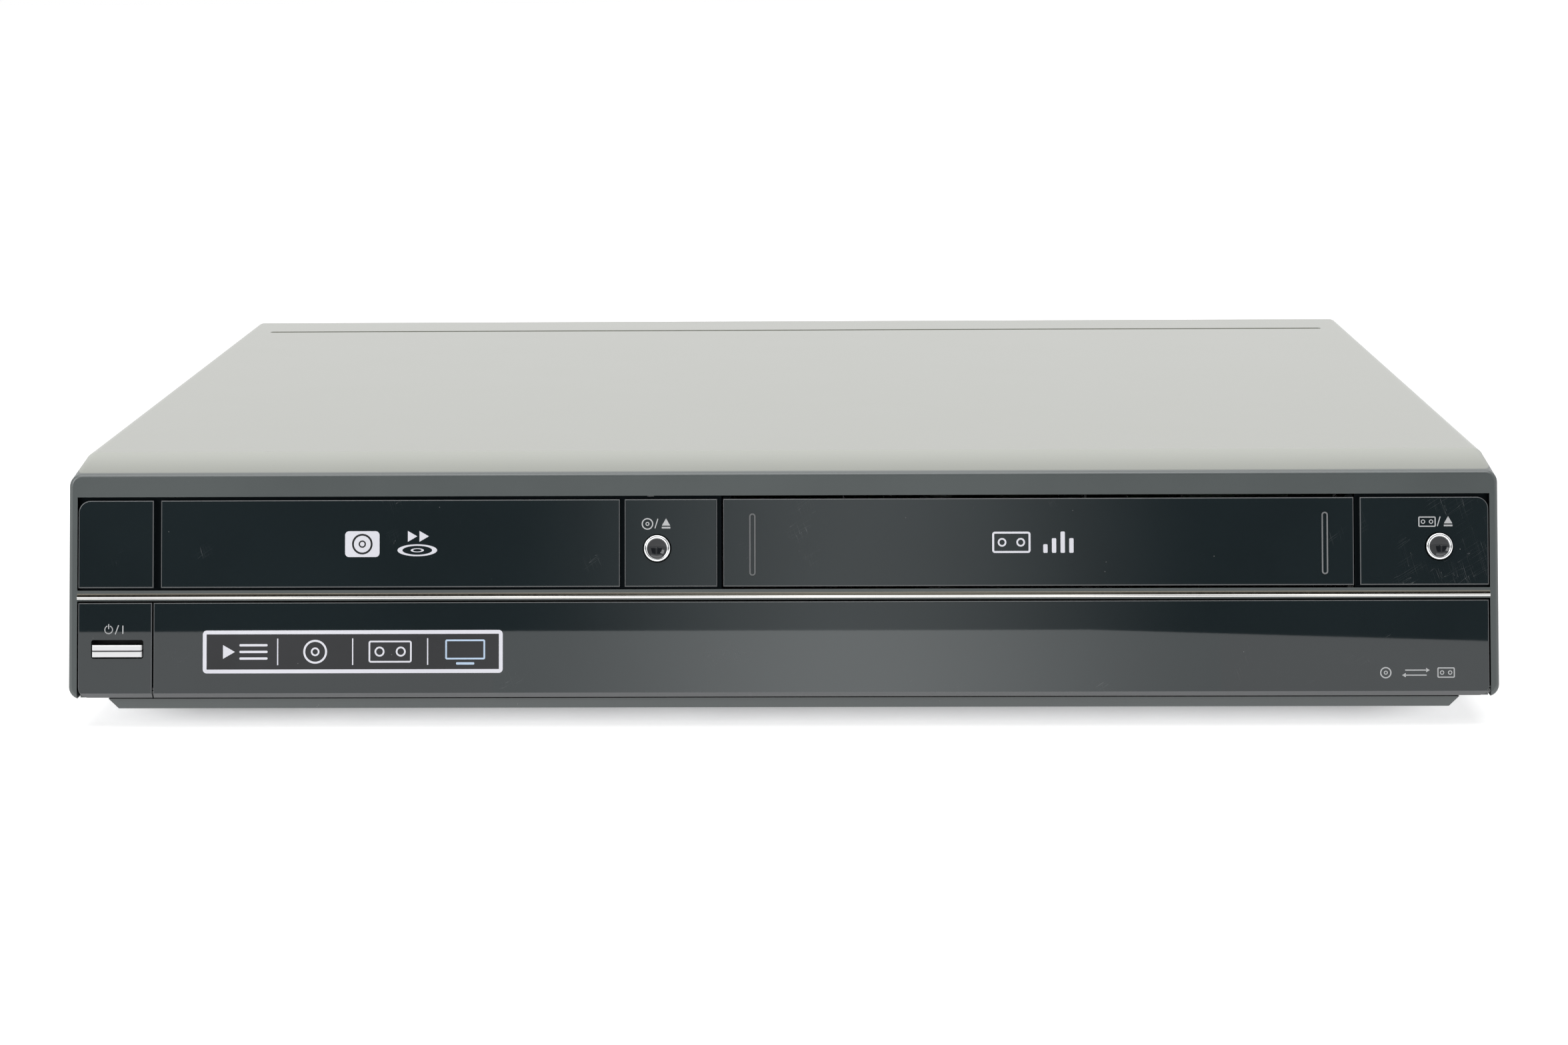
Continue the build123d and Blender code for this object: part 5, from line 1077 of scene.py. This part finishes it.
# %% [markdown]
# The floor keeps the object's shadow. Its glow is held back in an oblong under the case,
# a little smaller than the case is, and comes back over a few centimetres round it: this
# darker oblong is a painted shadow under the case. A second, slow rise with the distance
# makes the far floor melt into the room.

# %% Floor
FLOOR_GLOW = 0.19
FLOOR_GLOW_NEAR = 0.38
FLOOR_GLOW_FAR = 0.20
FAR_RISE = (0.3, 1.6)
# Painted shadow: the floor's glow is lower in this oblong under the case.
SHADOW_HALF = (0.175, 0.138)
SHADOW_FADE = 0.034
FLOOR_SIZE = 12
floor_paint, tree, shader = stage_paint("floor_paint", (0.79, 0.79, 0.79, 1), 0.1)
speckle = group_node(tree, grain_group, Scale=900.0)
tree.links.new(
    mix_colours(tree, speckle.outputs["Shade"], (0.78, 0.78, 0.78, 1), (0.80, 0.80, 0.80, 1)),
    shader.inputs["Base Color"],
)
shader.inputs["Emission Color"].default_value = (1, 1, 1, 1)
distance = add_node(
    tree, "ShaderNodeVectorMath", {0: object_place(tree)}, operation="LENGTH"
).outputs["Value"]
outside = []
for axis, half in zip("XY", SHADOW_HALF):
    past = maths(tree, "SUBTRACT", maths(tree, "ABSOLUTE", object_axis(tree, axis)), half)
    outside.append(maths(tree, "MAXIMUM", past, 0.0))
from_shadow = maths(tree, "MULTIPLY", outside[1], outside[1])
from_shadow = maths(tree, "MULTIPLY_ADD", outside[0], outside[0], from_shadow)
from_shadow = maths(tree, "SQRT", from_shadow)
far = smooth_step(tree, distance, *FAR_RISE)
near = smooth_step(tree, from_shadow, 0.0, SHADOW_FADE)
glow = maths(tree, "MULTIPLY_ADD", far, FLOOR_GLOW_FAR, FLOOR_GLOW)
glow = maths(tree, "MULTIPLY_ADD", near, FLOOR_GLOW_NEAR, glow)
tree.links.new(maths(tree, "MULTIPLY", seen_rays(tree), glow), shader.inputs["Emission Strength"])
deselect()
bpy.ops.mesh.primitive_plane_add(size=FLOOR_SIZE)
floor = bpy.context.object
floor.name = "floor"
floor.data.materials.append(floor_paint)
print("floor:", FLOOR_SIZE, "m square")

# %% [markdown]
# Gloss black only looks black when it mirrors something dark. A black card behind the
# camera fills the panels, and its lower edge draws the line that crosses the flap. On the
# right a second card is turned a little, so that the line drops towards the corner. A pale
# card lies just behind the dark one's edge, and gives the soft glow in the middle below
# the line. Only mirrors see the cards: they cast no shadow and light nothing.

# %% Cards behind the camera
CARD_Y = -1.9
CARD_LOWER = 0.425
CARD_SIZE = (2.6, 1.8)
TURNED_X = 0.473
TURNED_DROP = 0.0079
TURNED_SIZE = (0.5, 0.3 + TURNED_DROP)
TURNED_BY = math.radians(-1.8)
PALE_LOWER = 0.3
PALE_LAP = 0.01
PALE_BACK = 0.005
GLOW_X = 0.03
GLOW_HALF = 0.30


def card_paint(name, plain, middle):
    """A card that shines with one strength at its sides and another in the middle."""
    paint, tree, shader = stage_paint(name, (0.004, 0.004, 0.005, 1), 0.0)
    shader.inputs["Emission Color"].default_value = (0.97, 1.0, 1.0, 1)
    off_middle = maths(tree, "SUBTRACT", object_axis(tree, "X"), GLOW_X)
    glow = smooth_step(tree, maths(tree, "ABSOLUTE", off_middle), GLOW_HALF, 0.0)
    strength = maths(tree, "MULTIPLY_ADD", glow, middle - plain, plain)
    tree.links.new(strength, shader.inputs["Emission Strength"])
    return paint


def card(name, paint, x, lower, size, turn=0.0, back=0.0):
    """A card that only mirrors see, upright behind the camera and turned a little."""
    deselect()
    bpy.ops.mesh.primitive_plane_add(size=1)
    piece = bpy.context.object
    piece.name = name
    width, tall = size
    piece.matrix_world = (
        Matrix.Translation((x, CARD_Y - back, lower))
        @ Matrix.Rotation(math.pi / 2, 4, "X")
        @ Matrix.Rotation(turn, 4, "Z")
        @ Matrix.Translation((0, tall / 2, 0))
        @ Matrix.Diagonal((width, tall, 1, 1))
    )
    bpy.ops.object.transform_apply(location=True, rotation=True, scale=True)
    piece.data.materials.append(paint)
    piece.visible_camera = False
    piece.visible_diffuse = False
    piece.visible_shadow = False
    print(name, "from", round(lower, 3), "to", round(lower + tall, 3), "m")


dark = card_paint("dark_card_paint", 0.0, 0.75)
card("dark_card", dark, 0.0, CARD_LOWER, CARD_SIZE)
card("dark_card_turned", dark, TURNED_X, CARD_LOWER - TURNED_DROP, TURNED_SIZE, TURNED_BY)
pale = card_paint("pale_card_paint", 1.0, 1.85)
pale_size = (2 * GLOW_HALF, CARD_LOWER + PALE_LAP - PALE_LOWER)
card("pale_card", pale, GLOW_X, PALE_LOWER, pale_size, back=PALE_BACK)

# %% [markdown]
# Two large flat lamps, one overhead and one at the front left, give soft shadows, and
# the room fills them. Their power is low enough that the pale cover isn't bleached, so
# that a colour renders about as it is written.

# %% Lights
def soft_lamp(name, place, target, size, power):
    """A flat four-sided lamp that looks at a point."""
    data = bpy.data.lights.new(name, "AREA")
    data.shape = "RECTANGLE"
    data.size, data.size_y = size
    data.energy = power
    lamp = bpy.data.objects.new(name, data)
    bpy.context.scene.collection.objects.link(lamp)
    lamp.location = place
    lamp.rotation_euler = (Vector(target) - Vector(place)).to_track_quat("-Z", "Y").to_euler()


soft_lamp("overhead_lamp", (0.0, -0.2, 1.9), (0, 0, 0), (2.4, 1.8), 26)
soft_lamp("front_left_lamp", (-1.5, -1.7, 1.3), (0, -0.1, 0.05), (1.0, 1.0), 13)
print("lamps:", len(bpy.data.lights))

# %% [markdown]
# The room shines with full strength where it is seen, which is white, and with less than
# half of that where it lights things. The Standard view shows colours as they are.

# %% Room
ROOM_LIGHT = 0.42
world = bpy.data.worlds.new("pale_room")
bpy.context.scene.world = world
world.use_nodes = True
tree = world.node_tree
backdrop = tree.nodes["Background"]
backdrop.inputs["Color"].default_value = (1, 1, 1, 1)
strength = maths(tree, "MULTIPLY_ADD", seen_rays(tree), 1 - ROOM_LIGHT, ROOM_LIGHT)
tree.links.new(strength, backdrop.inputs["Strength"])
bpy.context.scene.view_settings.view_transform = "Standard"
print("room light:", ROOM_LIGHT)

# %% Nodes left without a finish
unfinished = sorted(set(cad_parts) - finished)
print("nodes without a finish:", unfinished)
